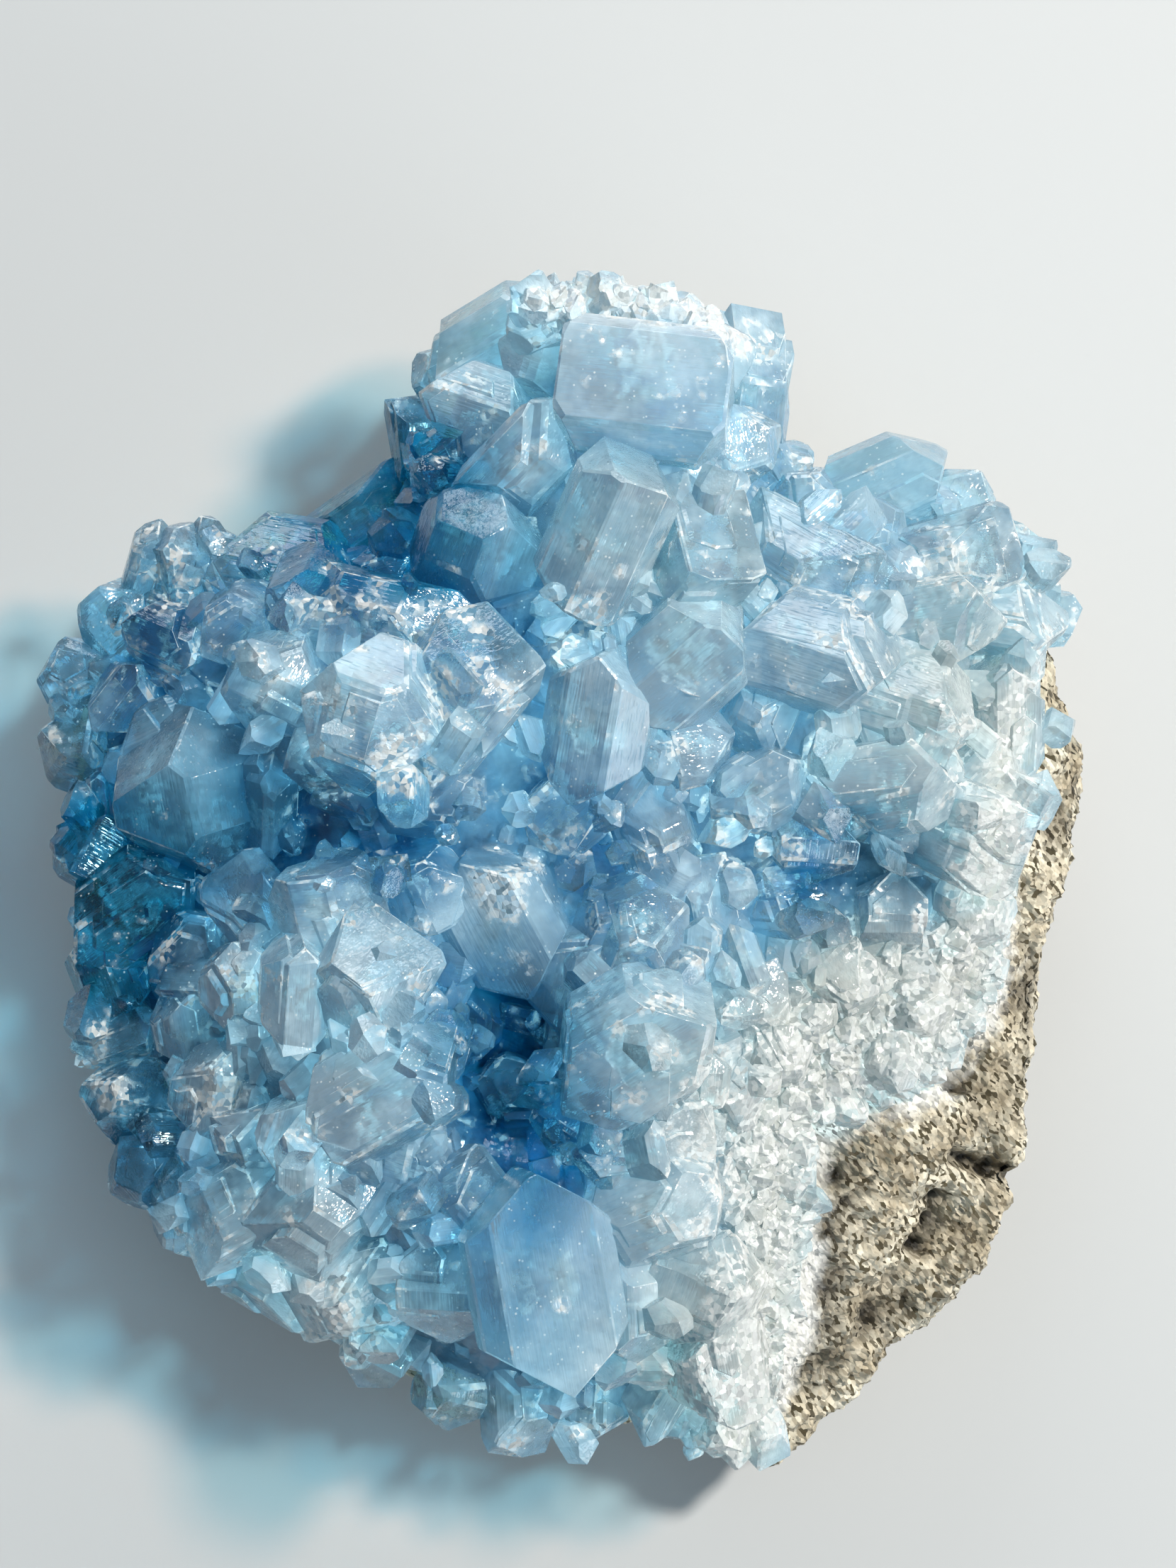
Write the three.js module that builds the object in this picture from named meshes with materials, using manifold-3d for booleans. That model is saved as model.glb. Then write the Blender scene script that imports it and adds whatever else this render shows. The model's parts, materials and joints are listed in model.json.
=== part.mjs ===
// A hand-sized celestite geode: a mound of intergrown blue crystals on a piece of grey host rock.
// It lies on its rocky back with the crystals up. Millimetres, +Z up, the longest side along Y.
// The origin is the middle of its plan, at the level that the flat spot rests on.

import * as THREE from "three";
import { ConvexGeometry } from "three/addons/geometries/ConvexGeometry.js";
import { mergeVertices } from "three/addons/utils/BufferGeometryUtils.js";
import Module from "manifold-3d";

// ---- driving dimensions, in millimetres and degrees ----

const bed = { middle: 27, rim: 14.5 }; // heights of the rock under the crystals
const restingSpot = { radius: 19, centre: [1, -1] }; // the flat that the rock stands on
const underside = { rimLift: 5.6, roughness: 0.9, fade: 4 }; // how the rock's back rises to its rim
const rockRoughness = { size: 8, depth: 1.7 }; // lumps of the broken rock
const undercut = 0.07; // how far the rock's back draws in below its rim, as a share of its reach
const rockMesh = { spokes: 40, topRings: 8, backRings: 5 };
const drusyBed = { thickness: 3.2, edge: 1.2, spokes: 24, rings: 5 }; // the layer that the crystals share
const seamGap = { over: 0.7, beside: 0.5 }; // clearance between the crust and its sloping rock
const druse = {
  // the small crystals beside the bare rock, round a pit
  spacing: 7.4,
  size: [5.5, 7.5],
  shape: [0.84, 0.88], // width and thickness as shares of the length
  rise: 0.4,
  left: 11,
  top: 2,
  bottom: -24,
  pit: [27, -0.5],
  pitRadius: 4,
  seed: 7,
};
const flatnessKept = 0.06; // cut faces that lie this close to one plane become one face

// Celestite's cell, in ångströms, which sets the angles between its faces.
const cell = { a: 8.359, b: 5.352, c: 6.866 };

// Rim of the rock, counter-clockwise from the +X side.
const rockRim = [
  [47.4, 4], [48.3, 12], [44.5, 22], [41, 30], [34, 35], [24, 36], [18, 44], [8, 49.5], [-3, 49.5],
  [-11, 43], [-14, 34], [-24, 29.5], [-35, 28], [-42, 19], [-43.5, 11], [-41, 2], [-40.5, -6],
  [-37.5, -16], [-35, -26], [-30, -35], [-20, -41.5], [-9, -47], [2, -48.6], [11, -49.5], [19.4, -53],
  [25.5, -48.4], [32.5, -41.5], [38.6, -35.4], [42.3, -25.5], [43.7, -15], [45, -5],
];

// Edge of the crystals' shared bed: it stops short of the rim where the rock is bare.
const crustEdge = [
  [43, 4], [45, 14], [44, 22], [41, 30], [34, 35], [24, 36], [18, 44], [8, 49.5], [-3, 49.5],
  [-11, 43], [-14, 34], [-24, 29.5], [-35, 28], [-42, 19], [-43.5, 11], [-41, 2], [-40.5, -6],
  [-37.5, -16], [-35, -26], [-30, -35], [-20, -41.5], [-9, -47], [2, -48.6], [11, -49.5], [18.2, -50],
  [20, -40], [22, -33], [22.5, -26.5], [21.5, -21.5], [30, -20], [37, -16.5], [40.5, -6],
];

// Swells and hollows of the rock under the crystals: x, y, radius, height.
const swells = [
  [5, 43, 14, 13], // crest
  [-15, 16, 11, 8], // left middle lobe
  [-34, 25, 11, 4], // left shoulder
  [-37, -3, 11, -5], // left flank
  [-20, -14, 11, 9], // lower left lobe
  [-26, -29, 9, 4],
  [9, 24, 12, 7], // ridge from the crest to the middle
  [34, 25, 14, 6], // right lobe
  [29, 8, 9, 4],
  [-4.5, -15, 7, -11], // central cavity
  [27, -0.5, 4.5, -7], // small pit
  [-16, 33.5, 6, -6], // valley beside the crest
  [9, -17, 8, 4],
  [0, -37, 11, 7], // lowest lobe
  [14, -41, 9, 3],
];

// Breaks in the bare rock: x, y, radius, depth.
const rockBreaks = [
  [39, -26, 3.2, 3.2], [35.5, -31.5, 3.6, 3], [37, -18, 2.6, 1.6], [29, -38, 3.5, 1.6], [46, 8, 2.6, 1.2],
];

// ---- the large crystals ----
// x, y, rise above the bed, length, width, thickness, then turn, pitch and roll in degrees:
// turn is the way its length points in plan, pitch lifts that end, roll is about its length.

const crest = [
  [-5, 49, 3, 12, 10.5, 10, 25, 12, 20], [7.5, 44.5, 6.5, 17.5, 14, 13, 2, 3, -12],
  [18, 44.5, 4, 12.5, 8, 9, 82, 8, 25], [6, 51.6, 3, 8, 4.5, 6, -8, 10, 12],
  [12.5, 50, 2, 8, 5, 6, -25, 5, -20], [-12, 46, 0, 6, 5.2, 5.5, 60, 20, 0],
  [-6.5, 42, 3, 10, 8.5, 9, -20, 15, 14], [-9, 37.5, 1.5, 8, 7, 7, 30, 25, -12],
  [-2.5, 36.5, 3, 8.6, 8, 8, 45, 20, 30], [5, 37.6, 2.5, 10, 6, 7, -15, 25, 40],
  [16, 38, 3, 10.5, 8, 8, 100, 35, 15], [11, 35.5, 2.5, 8, 7, 7, 70, 30, 5],
  [-13.8, 39.5, -1, 7, 6, 6.5, 100, 0, 20], [-17.5, 32, -0.5, 10, 8, 8, 35, 5, -15],
  [-12, 31, 0, 8, 7, 7, -40, 10, 15],
];

const upperMiddle = [
  [-7, 29, 3, 12.5, 10.5, 10, 70, 15, -20], [4.5, 29.5, 5, 14, 9.5, 9.5, 65, 25, 20],
  [13, 28, 4, 10, 9.5, 9, 20, 15, -25], [22, 28, 2.5, 9, 8.5, 8.5, -30, 20, 20],
  [22.5, 33.5, 1, 7.5, 6.5, 7, 0, 10, 12], [-15, 26.8, 0.5, 8, 7, 7, 15, 20, -10],
];

const leftShoulder = [
  [-24.5, 28.8, 2.5, 11.5, 8.6, 9, -10, 15, 20], [-41, 24, 1, 7, 6.5, 7, 40, 20, 0],
  [-37.6, 27.6, 1, 9, 4.6, 6, 70, 35, 10], [-34.4, 28.4, 2, 10, 5, 6, 92, 38, -10],
  [-31, 28.4, 1.5, 9, 5, 6, 112, 32, 20], [-43.5, 19, 0, 7.5, 6.5, 7, 115, 20, 5],
  [-44, 12, -0.5, 7.5, 6.4, 7, 160, 15, 30], [-28, 23, 1.5, 7.5, 6, 7, 30, 20, 15],
  [-34.5, 21.5, 1, 7.5, 6.5, 7, -25, 25, 20], [-38.5, 16.5, 0.5, 7.5, 6.5, 7, 50, 20, -15],
];

const leftMiddle = [
  [-21.8, 24, 3.2, 9.5, 8.5, 8.5, 20, 20, 25], [-15.8, 13.6, 5.5, 13, 11, 10.5, -20, 14, 20],
  [-9, 14.6, 4.5, 11.5, 10, 9.5, 50, 20, -20], [-24.4, 16.8, 2.5, 10, 8.6, 8.5, 60, 25, 10],
  [-15.8, 22.6, 3.5, 11, 8.5, 8.5, -15, 20, -20], [-20.4, 10.6, 1.5, 7, 5.6, 6, 75, 25, 0],
  [-12, 7, 1.5, 8, 7, 7, 10, 30, 20],
];

const leftFlank = [
  [-32, 7.6, 2, 14.5, 13.5, 12.5, 100, 15, 30], [-25.6, 6.6, 1, 9, 5, 6.5, 85, 40, 0],
  [-35, 13.4, 1, 7, 6.5, 7, 20, 25, 20], [-43, 2, -0.5, 7.5, 6.5, 7, 150, 15, 10],
  [-38, -2.4, 0.5, 11.5, 10, 10, 35, 10, 20], [-43.4, -4.2, -1.5, 5, 4.6, 5, 60, 10, 30],
  [-40.6, -8.4, 0, 8.5, 7.4, 7.5, 110, 20, -20], [-40, -14, -0.5, 7, 6.2, 6.5, 20, 20, 10],
  [-38.2, -20.6, 0, 9, 7.8, 8, 70, 15, 20], [-36.6, -26, -0.5, 8, 7.4, 7.5, 130, 20, 0],
  [-32.6, -6.4, 1, 8, 7.2, 7.5, 45, 20, -10], [-33, -13.6, 1, 8, 7, 7, 100, 20, 15],
];

const centreRight = [
  [11.5, 18.6, 4.5, 11.5, 10.5, 9.5, 40, 20, 20], [4, 13.2, 5.5, 13, 9.6, 9.5, 80, 20, -15],
  [23, 19, 4.5, 13.5, 10.5, 9.5, -15, 15, 25], [12, 11.4, 2.5, 7.5, 6.6, 7, 10, 25, 10],
  [18, 14.4, 1.5, 7, 6.4, 6.5, 65, 20, -15], [31, 15, 3, 13, 9, 9, -20, 15, 20],
  [18.4, 7.4, 2.5, 8, 7.2, 7.5, 30, 20, -10], [22.4, 3, 2.5, 8, 7.6, 7.5, 80, 20, 20],
  [29.6, 7.4, 3.5, 11, 8, 8, 10, 20, -20], [36.4, 4.2, 3, 12.5, 8.8, 8.5, -25, 15, 20],
  [1, 5.6, 2, 8, 7, 7, 40, 20, 10], [8.6, 4, 1.5, 8, 6.6, 7, 110, 20, 20],
];

const rightLobe = [
  [30.4, 36.4, 3, 11, 9.6, 9.5, 22, 14, 15], [36.8, 34, 2, 7, 6, 6.5, 60, 25, 0],
  [42.6, 29.4, 0.5, 8.5, 7.4, 7.5, -15, 20, 20], [41.8, 23, 2.5, 12, 9, 9, -10, 20, 20],
  [33, 22.4, 3, 11.5, 8.4, 8, 10, 20, -20], [35.6, 28.6, 3, 11, 7.8, 8, 15, 15, 10],
  [42.4, 14.6, 1.5, 10.5, 7, 7, 92, 20, 10], [40.4, 7.4, 1.5, 10, 8.4, 8, 45, 15, -20],
  [28, 30.6, 2, 8, 7, 7, 100, 25, 10], [27.4, 24, 1.5, 7.5, 6.6, 7, 40, 20, -20],
];

const cavityWalls = [
  [-4.4, -4, 0.5, 13.5, 11, 9, -62, -12, 20], [1.6, -8.6, 1, 11, 8.4, 8.5, 75, 25, 30],
  [6.8, -5, 3, 9.6, 8.4, 8, 20, 15, -20], [-11.5, -1.4, 1.5, 8, 7, 7, 10, 25, 20],
  [-8, -13, -1, 7, 6, 6.5, 80, 30, 0], [-4, -20, 0.5, 7.5, 6.4, 6.5, 40, 30, -20],
];

const lowerLeft = [
  [-19.4, -3, 3.5, 11.5, 7.8, 8, 5, 20, 20], [-22.6, -10.4, 2.5, 9.5, 7.2, 7.5, 85, 20, 10],
  [-15.8, -9.8, 4.5, 10.5, 9.6, 9, 60, 15, -20], [-15, -19, 4.5, 12, 10.6, 9.5, 30, 20, 20],
  [-28, -10, 1.5, 9, 6.6, 7, 95, 20, 0], [-31, -19.4, 2, 9.5, 7.6, 8, 80, 20, 20],
  [-11, -14.6, 1.5, 7, 6.4, 6.5, 20, 20, 20], [-32.4, -29.4, 0.5, 11, 7.6, 8, 100, 20, 15],
  [-27.2, -29.6, 2.5, 9.5, 8.6, 8.5, 30, 15, -20], [-20.6, -29.4, 3.5, 10.5, 9.4, 9, 50, 20, 20],
  [-22.6, -22.6, 2.5, 7.5, 7, 7, 70, 20, 0], [-13, -25.6, 2.5, 8, 7, 7, -20, 20, 20],
  [-27, -23.6, 1.5, 6.8, 6, 6.5, 10, 20, 20], [-26.6, -3, 1.5, 7.5, 6.6, 7, 130, 20, -10],
];

const lowestLobe = [
  [-0.8, -37.2, 6.5, 19.5, 13, 8.5, 98, 6, 12], [-9.6, -36.6, 3, 10, 8, 8, 92, 20, -15],
  [-19, -37.6, 1.5, 9.5, 7.6, 8, 15, 20, 30], [-16.6, -43, 0, 7, 6.4, 6.5, 60, 15, 10],
  [-9.6, -46.6, -2, 8, 6, 6.5, 80, 10, 20], [-25.6, -36.6, 0, 7.6, 6.8, 7, -30, 20, 15],
  [-3.6, -47.4, -2, 7.4, 6.6, 6.5, 95, 10, 30], [3.6, -47.2, -2, 7.6, 6.4, 6.5, 85, 10, -20],
  [-8, -29, 2.5, 8.4, 7.6, 7.5, 30, 20, 20], [6.6, -38, 3.5, 10, 5.4, 7, 92, 15, 30],
  [6.8, -15.2, 5.5, 14.5, 12, 10.5, 30, 12, 25], [2.4, -22, 3, 9, 8, 8, 60, 20, -10],
  [9, -22.6, 3, 9.6, 7.4, 7.5, -10, 20, 20], [9, -29.6, 4, 12.5, 10, 9.5, 25, 20, 20],
  [13.4, -36.4, 3, 10.5, 9, 8.5, 70, 20, -15], [14.6, -43.4, 3, 11, 9.6, 9, 100, 15, 20],
  [9.4, -47, 0, 7.4, 6.4, 6.5, 60, 15, 20], [16.4, -50.4, -0.5, 8, 7, 6.5, 80, 10, 10],
];

// ---- small helpers ----

const wasm = await Module();
wasm.setup();

const radians = THREE.MathUtils.degToRad;
const mix = THREE.MathUtils.lerp;

// Repeatable random numbers from 0 to 1 (mulberry32).
function randomFrom(seed) {
  let state = seed >>> 0;
  return () => {
    state = (state + 0x6d2b79f5) >>> 0;
    let t = state;
    t = Math.imul(t ^ (t >>> 15), t | 1);
    t ^= t + Math.imul(t ^ (t >>> 7), t | 61);
    return ((t ^ (t >>> 14)) >>> 0) / 4294967296;
  };
}

// A repeatable value from -1 to 1 for each whole-number place.
function latticeValue(i, j, k) {
  const wave = Math.sin(i * 127.1 + j * 311.7 + k * 74.7) * 43758.5453;
  return 2 * (wave - Math.floor(wave)) - 1;
}

// Smooth lumps: lattice values blended over a cell of the given size.
function lumps(x, y, z, size) {
  const p = [x / size, y / size, z / size];
  const cellAt = p.map(Math.floor);
  const [u, v, w] = p.map((value, i) => THREE.MathUtils.smoothstep(value - cellAt[i], 0, 1));
  const [i, j, k] = cellAt;
  const row = (b, c) => mix(latticeValue(i, j + b, k + c), latticeValue(i + 1, j + b, k + c), u);
  const sheet = (c) => mix(row(0, c), row(1, c), v);
  return mix(sheet(0), sheet(1), w);
}

// How far a closed plan outline reaches in each direction from the plan's middle.
function reachOf(outline) {
  return (angle) => {
    const dx = Math.cos(angle);
    const dy = Math.sin(angle);
    for (let i = 0; i < outline.length; i += 1) {
      const [ax, ay] = outline[i];
      const [bx, by] = outline[(i + 1) % outline.length];
      const side = dx * (by - ay) - dy * (bx - ax);
      const reach = (ax * (by - ay) - ay * (bx - ax)) / side;
      const along = (ax * dy - ay * dx) / side;
      if (side !== 0 && reach > 0 && along >= 0 && along <= 1) return reach;
    }
    return 0;
  };
}

const rimReach = reachOf(rockRim);
const crustReach = reachOf(crustEdge);

// Sum of round swells at a place in plan.
function sumOf(list, x, y) {
  return list.reduce((sum, [sx, sy, radius, height]) => {
    const far = ((x - sx) ** 2 + (y - sy) ** 2) / radius ** 2;
    return sum + height * Math.exp(-far);
  }, 0);
}

// ---- host rock ----

// Height of the rock's upper face: a dome with swells, falling to its rim.
function bedHeight(x, y) {
  const reach = rimReach(Math.atan2(y, x));
  const share = Math.min(Math.hypot(x, y) / reach, 1);
  const fall = share ** 3.2;
  const swell = sumOf(swells, x, y) * (1 - share ** 6);
  return mix(bed.middle, bed.rim, fall) + swell;
}

// The rock's broken upper face, with its breaks and lumps.
function rockTop(x, y) {
  const rough = rockRoughness.depth * lumps(x, y, 0, rockRoughness.size);
  return bedHeight(x, y) - sumOf(rockBreaks, x, y) + rough;
}

// The rock's back: flat at the resting spot, rising to the rim.
function rockBack(x, y) {
  const out = Math.hypot(x - restingSpot.centre[0], y - restingSpot.centre[1]);
  const past = Math.max(out - restingSpot.radius, 0);
  if (past === 0) return 0;
  const rim = rimReach(Math.atan2(y, x));
  const share = Math.min(past / Math.max(rim - restingSpot.radius, 1), 1);
  const rough = underside.roughness * (1 + lumps(x, y, 40, rockRoughness.size));
  return underside.rimLift * share ** 1.6 + rough * Math.min(past / underside.fade, 1);
}

// A solid between an upper and a lower surface over a plan that reaches a given way in each
// direction: rings of points from the middle to the rim on top, and back again underneath. With a
// wall, the rim drops first, drawing in by a share of its reach.
function lensSolid({ reach, top, bottom, spokes, topRings, bottomRings, grow, wall, drawIn }) {
  const points = [];
  const faces = [];
  const ringOf = (share, height) => {
    const first = points.length;
    for (let s = 0; s < spokes; s += 1) {
      const angle = (s / spokes) * Math.PI * 2;
      const out = (reach(angle) + grow) * share;
      const x = out * Math.cos(angle);
      const y = out * Math.sin(angle);
      points.push([x, y, height(x, y)]);
    }
    return first;
  };
  const join = (inner, outer) => {
    for (let s = 0; s < spokes; s += 1) {
      const next = (s + 1) % spokes;
      faces.push([inner + s, outer + s, outer + next], [inner + s, outer + next, inner + next]);
    }
  };
  const fan = (middle, ring, up) => {
    for (let s = 0; s < spokes; s += 1) {
      const next = (s + 1) % spokes;
      faces.push(up ? [middle, ring + s, ring + next] : [middle, ring + next, ring + s]);
    }
  };
  points.push([0, 0, top(0, 0)]);
  const rings = [];
  for (let r = 1; r <= topRings; r += 1) rings.push(ringOf(r / topRings, top));
  const outermost = wall ? bottomRings : bottomRings - 1;
  for (let r = outermost; r >= 1; r -= 1) rings.push(ringOf((r / bottomRings) * (1 - drawIn), bottom));
  fan(0, rings[0], true);
  for (let r = 1; r < rings.length; r += 1) join(rings[r - 1], rings[r]);
  points.push([0, 0, bottom(0, 0)]);
  fan(points.length - 1, rings[rings.length - 1], false);
  return solidFrom(points.flat(), faces.flat());
}

// A solid from a list of coordinates and a list of corner numbers.
function solidFrom(coordinates, corners) {
  const mesh = new wasm.Mesh({
    numProp: 3,
    vertProperties: new Float32Array(coordinates),
    triVerts: new Uint32Array(corners),
  });
  return new wasm.Manifold(mesh);
}

const matrixSolid = lensSolid({
  reach: rimReach,
  top: rockTop,
  bottom: rockBack,
  spokes: rockMesh.spokes,
  topRings: rockMesh.topRings,
  bottomRings: rockMesh.backRings,
  grow: 0,
  wall: true,
  drawIn: undercut,
});

// The space that the rock takes out of the crust: the rock and its gap, and all below it.
const rockSpace = lensSolid({
  reach: rimReach,
  top: (x, y) => rockTop(x, y) + seamGap.over,
  bottom: () => -bed.rim,
  spokes: rockMesh.spokes,
  topRings: rockMesh.topRings,
  bottomRings: 1,
  grow: seamGap.beside,
  wall: true,
  drawIn: 0,
});

// ---- crystals ----

// The direction that a face with indices h, k, l looks in.
function faceDirection([h, k, l]) {
  return new THREE.Vector3(h / cell.a, k / cell.b, l / cell.c).normalize();
}

// Every face of a form: its indices with all signs.
function formFaces(indices) {
  const found = new Map();
  for (const sx of [1, -1])
    for (const sy of [1, -1])
      for (const sz of [1, -1]) {
        const signed = [indices[0] * sx, indices[1] * sy, indices[2] * sz];
        found.set(signed.map((value) => value + 0).join(), signed);
      }
  return [...found.values()].map(faceDirection);
}

const forms = {
  side: formFaces([0, 1, 0]),
  base: formFaces([0, 0, 1]),
  wedge: formFaces([2, 1, 0]),
  dome: formFaces([0, 1, 1]),
  slope: formFaces([1, 0, 1]),
};

// The forms that show together on a crystal.
const habits = [
  ["base", "dome", "wedge"],
  ["base", "dome", "slope"],
  ["base", "side", "wedge"],
  ["dome", "slope", "wedge"],
];
const richHabit = ["base", "side", "dome", "wedge"];
const richVolume = 1150; // a crystal with a larger box than this, in cubic millimetres, shows more forms

// The faces of one crystal that fills a box. The bevelling forms each cut a share of an edge:
// a share of 0 only touches the edge and 1 takes the whole of the narrower face.
function crystalFaces({ length, width, thickness, shown, share }) {
  const half = new THREE.Vector3(length / 2, width / 2, thickness / 2);
  const distances = {
    side: () => half.y,
    base: () => half.z,
    wedge: (face) => face.x * half.x + face.y * half.y * (1 - share.wedge),
    dome: (face) => face.y * half.y + face.z * half.z * (1 - share.dome),
    slope: (face) => face.x * half.x + face.z * half.z * (1 - share.slope),
  };
  return shown.flatMap((form) => {
    const distance = distances[form](forms[form][0]);
    return forms[form].map((normal) => ({ normal, distance }));
  });
}

// The corners where three faces meet and no other face cuts them off.
function cornersOf(planes) {
  const corners = [];
  const normals = new THREE.Matrix3();
  for (let i = 0; i < planes.length; i += 1)
    for (let j = i + 1; j < planes.length; j += 1)
      for (let k = j + 1; k < planes.length; k += 1) {
        const [p, q, r] = [planes[i], planes[j], planes[k]];
        normals.set(...p.normal.toArray(), ...q.normal.toArray(), ...r.normal.toArray());
        if (Math.abs(normals.determinant()) < 1e-3) continue;
        const corner = new THREE.Vector3(p.distance, q.distance, r.distance).applyMatrix3(normals.invert());
        const inside = planes.every((plane) => plane.normal.dot(corner) <= plane.distance + 1e-4);
        if (inside) corners.push(corner);
      }
  return corners;
}

// One crystal as a solid, placed with its middle at a height over the rock. Its place sets its habit.
function crystalSolid([x, y, rise, length, width, thickness, turn, pitch, roll]) {
  const random = randomFrom(Math.round(x * 10) * 7919 + Math.round(y * 10));
  const rich = length * width * thickness > richVolume;
  const drawn = habits[Math.floor(random() * habits.length)];
  const habit = {
    length,
    width,
    thickness,
    shown: rich ? richHabit : drawn,
    share: {
      wedge: mix(0.5, 0.95, random()),
      dome: mix(0.45, 0.9, random()),
      slope: mix(0.4, 0.85, random()),
    },
  };
  const angles = new THREE.Euler(radians(roll), radians(-pitch), radians(turn), "ZYX");
  const middle = new THREE.Vector3(x, y, bedHeight(x, y) + drusyBed.thickness + rise);
  const place = new THREE.Matrix4().compose(
    middle,
    new THREE.Quaternion().setFromEuler(angles),
    new THREE.Vector3(1, 1, 1),
  );
  const corners = cornersOf(crystalFaces(habit)).map((corner) => corner.applyMatrix4(place));
  return solidOfShape(new ConvexGeometry(corners));
}

// A three.js shape as a solid.
function solidOfShape(shape) {
  shape.deleteAttribute("normal");
  shape.deleteAttribute("uv");
  const merged = mergeVertices(shape, 1e-4);
  return solidFrom(merged.attributes.position.array, merged.index.array);
}

const largeCrystals = [
  ...crest, ...upperMiddle, ...leftShoulder, ...leftMiddle, ...leftFlank, ...centreRight,
  ...rightLobe, ...cavityWalls, ...lowerLeft, ...lowestLobe,
];

// Whether a place belongs to the small crystals: beside the bare rock, off the pit and the large ones.
function inDruse(x, y) {
  const within = x > druse.left && y < druse.top && y > druse.bottom;
  const onBed = Math.hypot(x, y) < crustReach(Math.atan2(y, x)) - 1;
  const offPit = Math.hypot(x - druse.pit[0], y - druse.pit[1]) > druse.pitRadius;
  return within && onBed && offPit && largeCrystals.every(([largeX, largeY, , length, width]) => {
    return Math.hypot(x - largeX, y - largeY) > (length + width) / 4;
  });
}

// The small crystals' rows, on a jittered honeycomb.
function druseCrystals() {
  const random = randomFrom(druse.seed);
  const rows = [];
  const step = { x: druse.spacing, y: (druse.spacing * Math.sqrt(3)) / 2 };
  const jitter = () => (random() - 0.5) * druse.spacing * 0.6;
  for (let row = 0; druse.bottom + row * step.y < druse.top; row += 1)
    for (let column = 0; druse.left + column * step.x < rockRim[1][0]; column += 1) {
      const x = druse.left + (column + (row % 2) / 2) * step.x + jitter();
      const y = druse.bottom + row * step.y + jitter();
      const length = mix(...druse.size, random());
      const [width, thickness] = druse.shape.map((share) => share * length);
      const angles = [random() * 180, mix(10, 55, random()), mix(-30, 30, random())];
      if (inDruse(x, y)) rows.push([x, y, druse.rise, length, width, thickness, ...angles]);
    }
  return rows;
}

// The layer that the crystals share at their roots.
const bedSolid = lensSolid({
  reach: crustReach,
  top: (x, y) => {
    const share = Math.hypot(x, y) / crustReach(Math.atan2(y, x));
    return bedHeight(x, y) + mix(drusyBed.thickness, drusyBed.edge, Math.min(share, 1) ** 4);
  },
  bottom: (x, y) => bedHeight(x, y) - drusyBed.thickness,
  spokes: drusyBed.spokes,
  topRings: drusyBed.rings,
  bottomRings: 3,
  grow: 0,
  wall: false,
  drawIn: 0,
});

// The crust: all the crystals grown together on their bed, without the rock and the loose splinters
// that the rock's edge cuts off.
function crustSolid() {
  let crust = bedSolid;
  for (const row of [...largeCrystals, ...druseCrystals()]) crust = crust.add(crystalSolid(row));
  const pieces = crust.subtract(rockSpace).asOriginal().simplify(flatnessKept).decompose();
  pieces.sort((one, other) => other.volume() - one.volume());
  return pieces[0];
}

// ---- meshes ----

function meshOf(name, solid, colour, roughness) {
  const { vertProperties, triVerts } = solid.getMesh();
  const shape = new THREE.BufferGeometry();
  shape.setAttribute("position", new THREE.BufferAttribute(new Float32Array(vertProperties), 3));
  shape.setIndex([...triVerts]);
  shape.computeVertexNormals();
  const material = new THREE.MeshStandardMaterial({
    color: colour,
    roughness,
    metalness: 0,
    flatShading: true,
  });
  const mesh = new THREE.Mesh(shape, material);
  mesh.name = name;
  return mesh;
}

const geode = new THREE.Group();
geode.name = "celestite_geode";
geode.add(meshOf("matrix", matrixSolid, 0xa9a492, 0.9));
geode.add(meshOf("crystal_crust", crustSolid(), 0x9fc4dc, 0.15));

export default geode;
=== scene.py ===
import itertools
import json
import math

import bmesh
import bpy
import numpy as np
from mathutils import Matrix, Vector
from mathutils.bvhtree import BVHTree

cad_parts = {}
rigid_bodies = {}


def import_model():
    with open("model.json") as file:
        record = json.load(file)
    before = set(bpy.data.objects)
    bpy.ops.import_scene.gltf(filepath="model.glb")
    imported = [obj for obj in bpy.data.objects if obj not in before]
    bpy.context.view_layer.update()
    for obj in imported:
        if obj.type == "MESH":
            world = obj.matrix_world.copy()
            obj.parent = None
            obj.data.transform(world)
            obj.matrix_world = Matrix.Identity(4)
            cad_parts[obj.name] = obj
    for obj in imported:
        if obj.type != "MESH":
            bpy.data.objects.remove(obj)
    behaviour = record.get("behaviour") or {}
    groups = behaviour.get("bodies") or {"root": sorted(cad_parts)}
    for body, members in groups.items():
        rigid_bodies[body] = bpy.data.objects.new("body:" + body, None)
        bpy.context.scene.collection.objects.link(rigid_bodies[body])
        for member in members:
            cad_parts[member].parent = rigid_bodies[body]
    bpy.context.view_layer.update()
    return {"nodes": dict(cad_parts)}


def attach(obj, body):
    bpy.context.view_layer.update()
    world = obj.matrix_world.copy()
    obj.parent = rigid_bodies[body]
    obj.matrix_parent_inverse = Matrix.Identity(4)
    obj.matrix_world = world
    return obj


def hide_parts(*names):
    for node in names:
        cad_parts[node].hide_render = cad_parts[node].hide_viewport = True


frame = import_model()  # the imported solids, which everything below is built around
millimetre = 0.001  # lists and lengths below are in millimetres, the scene is in metres
print("frame loaded:", ", ".join(sorted(frame["nodes"])))


# Small helpers

def linearColour(hexColour, alpha=1.0):
    # An sRGB hex colour as the linear values that shaders take.
    parts = np.array([int(hexColour[i:i + 2], 16) for i in (1, 3, 5)]) / 255
    linear = np.where(parts <= 0.04045, parts / 12.92, ((parts + 0.055) / 1.055) ** 2.4)
    return (*linear.tolist(), alpha)


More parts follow.
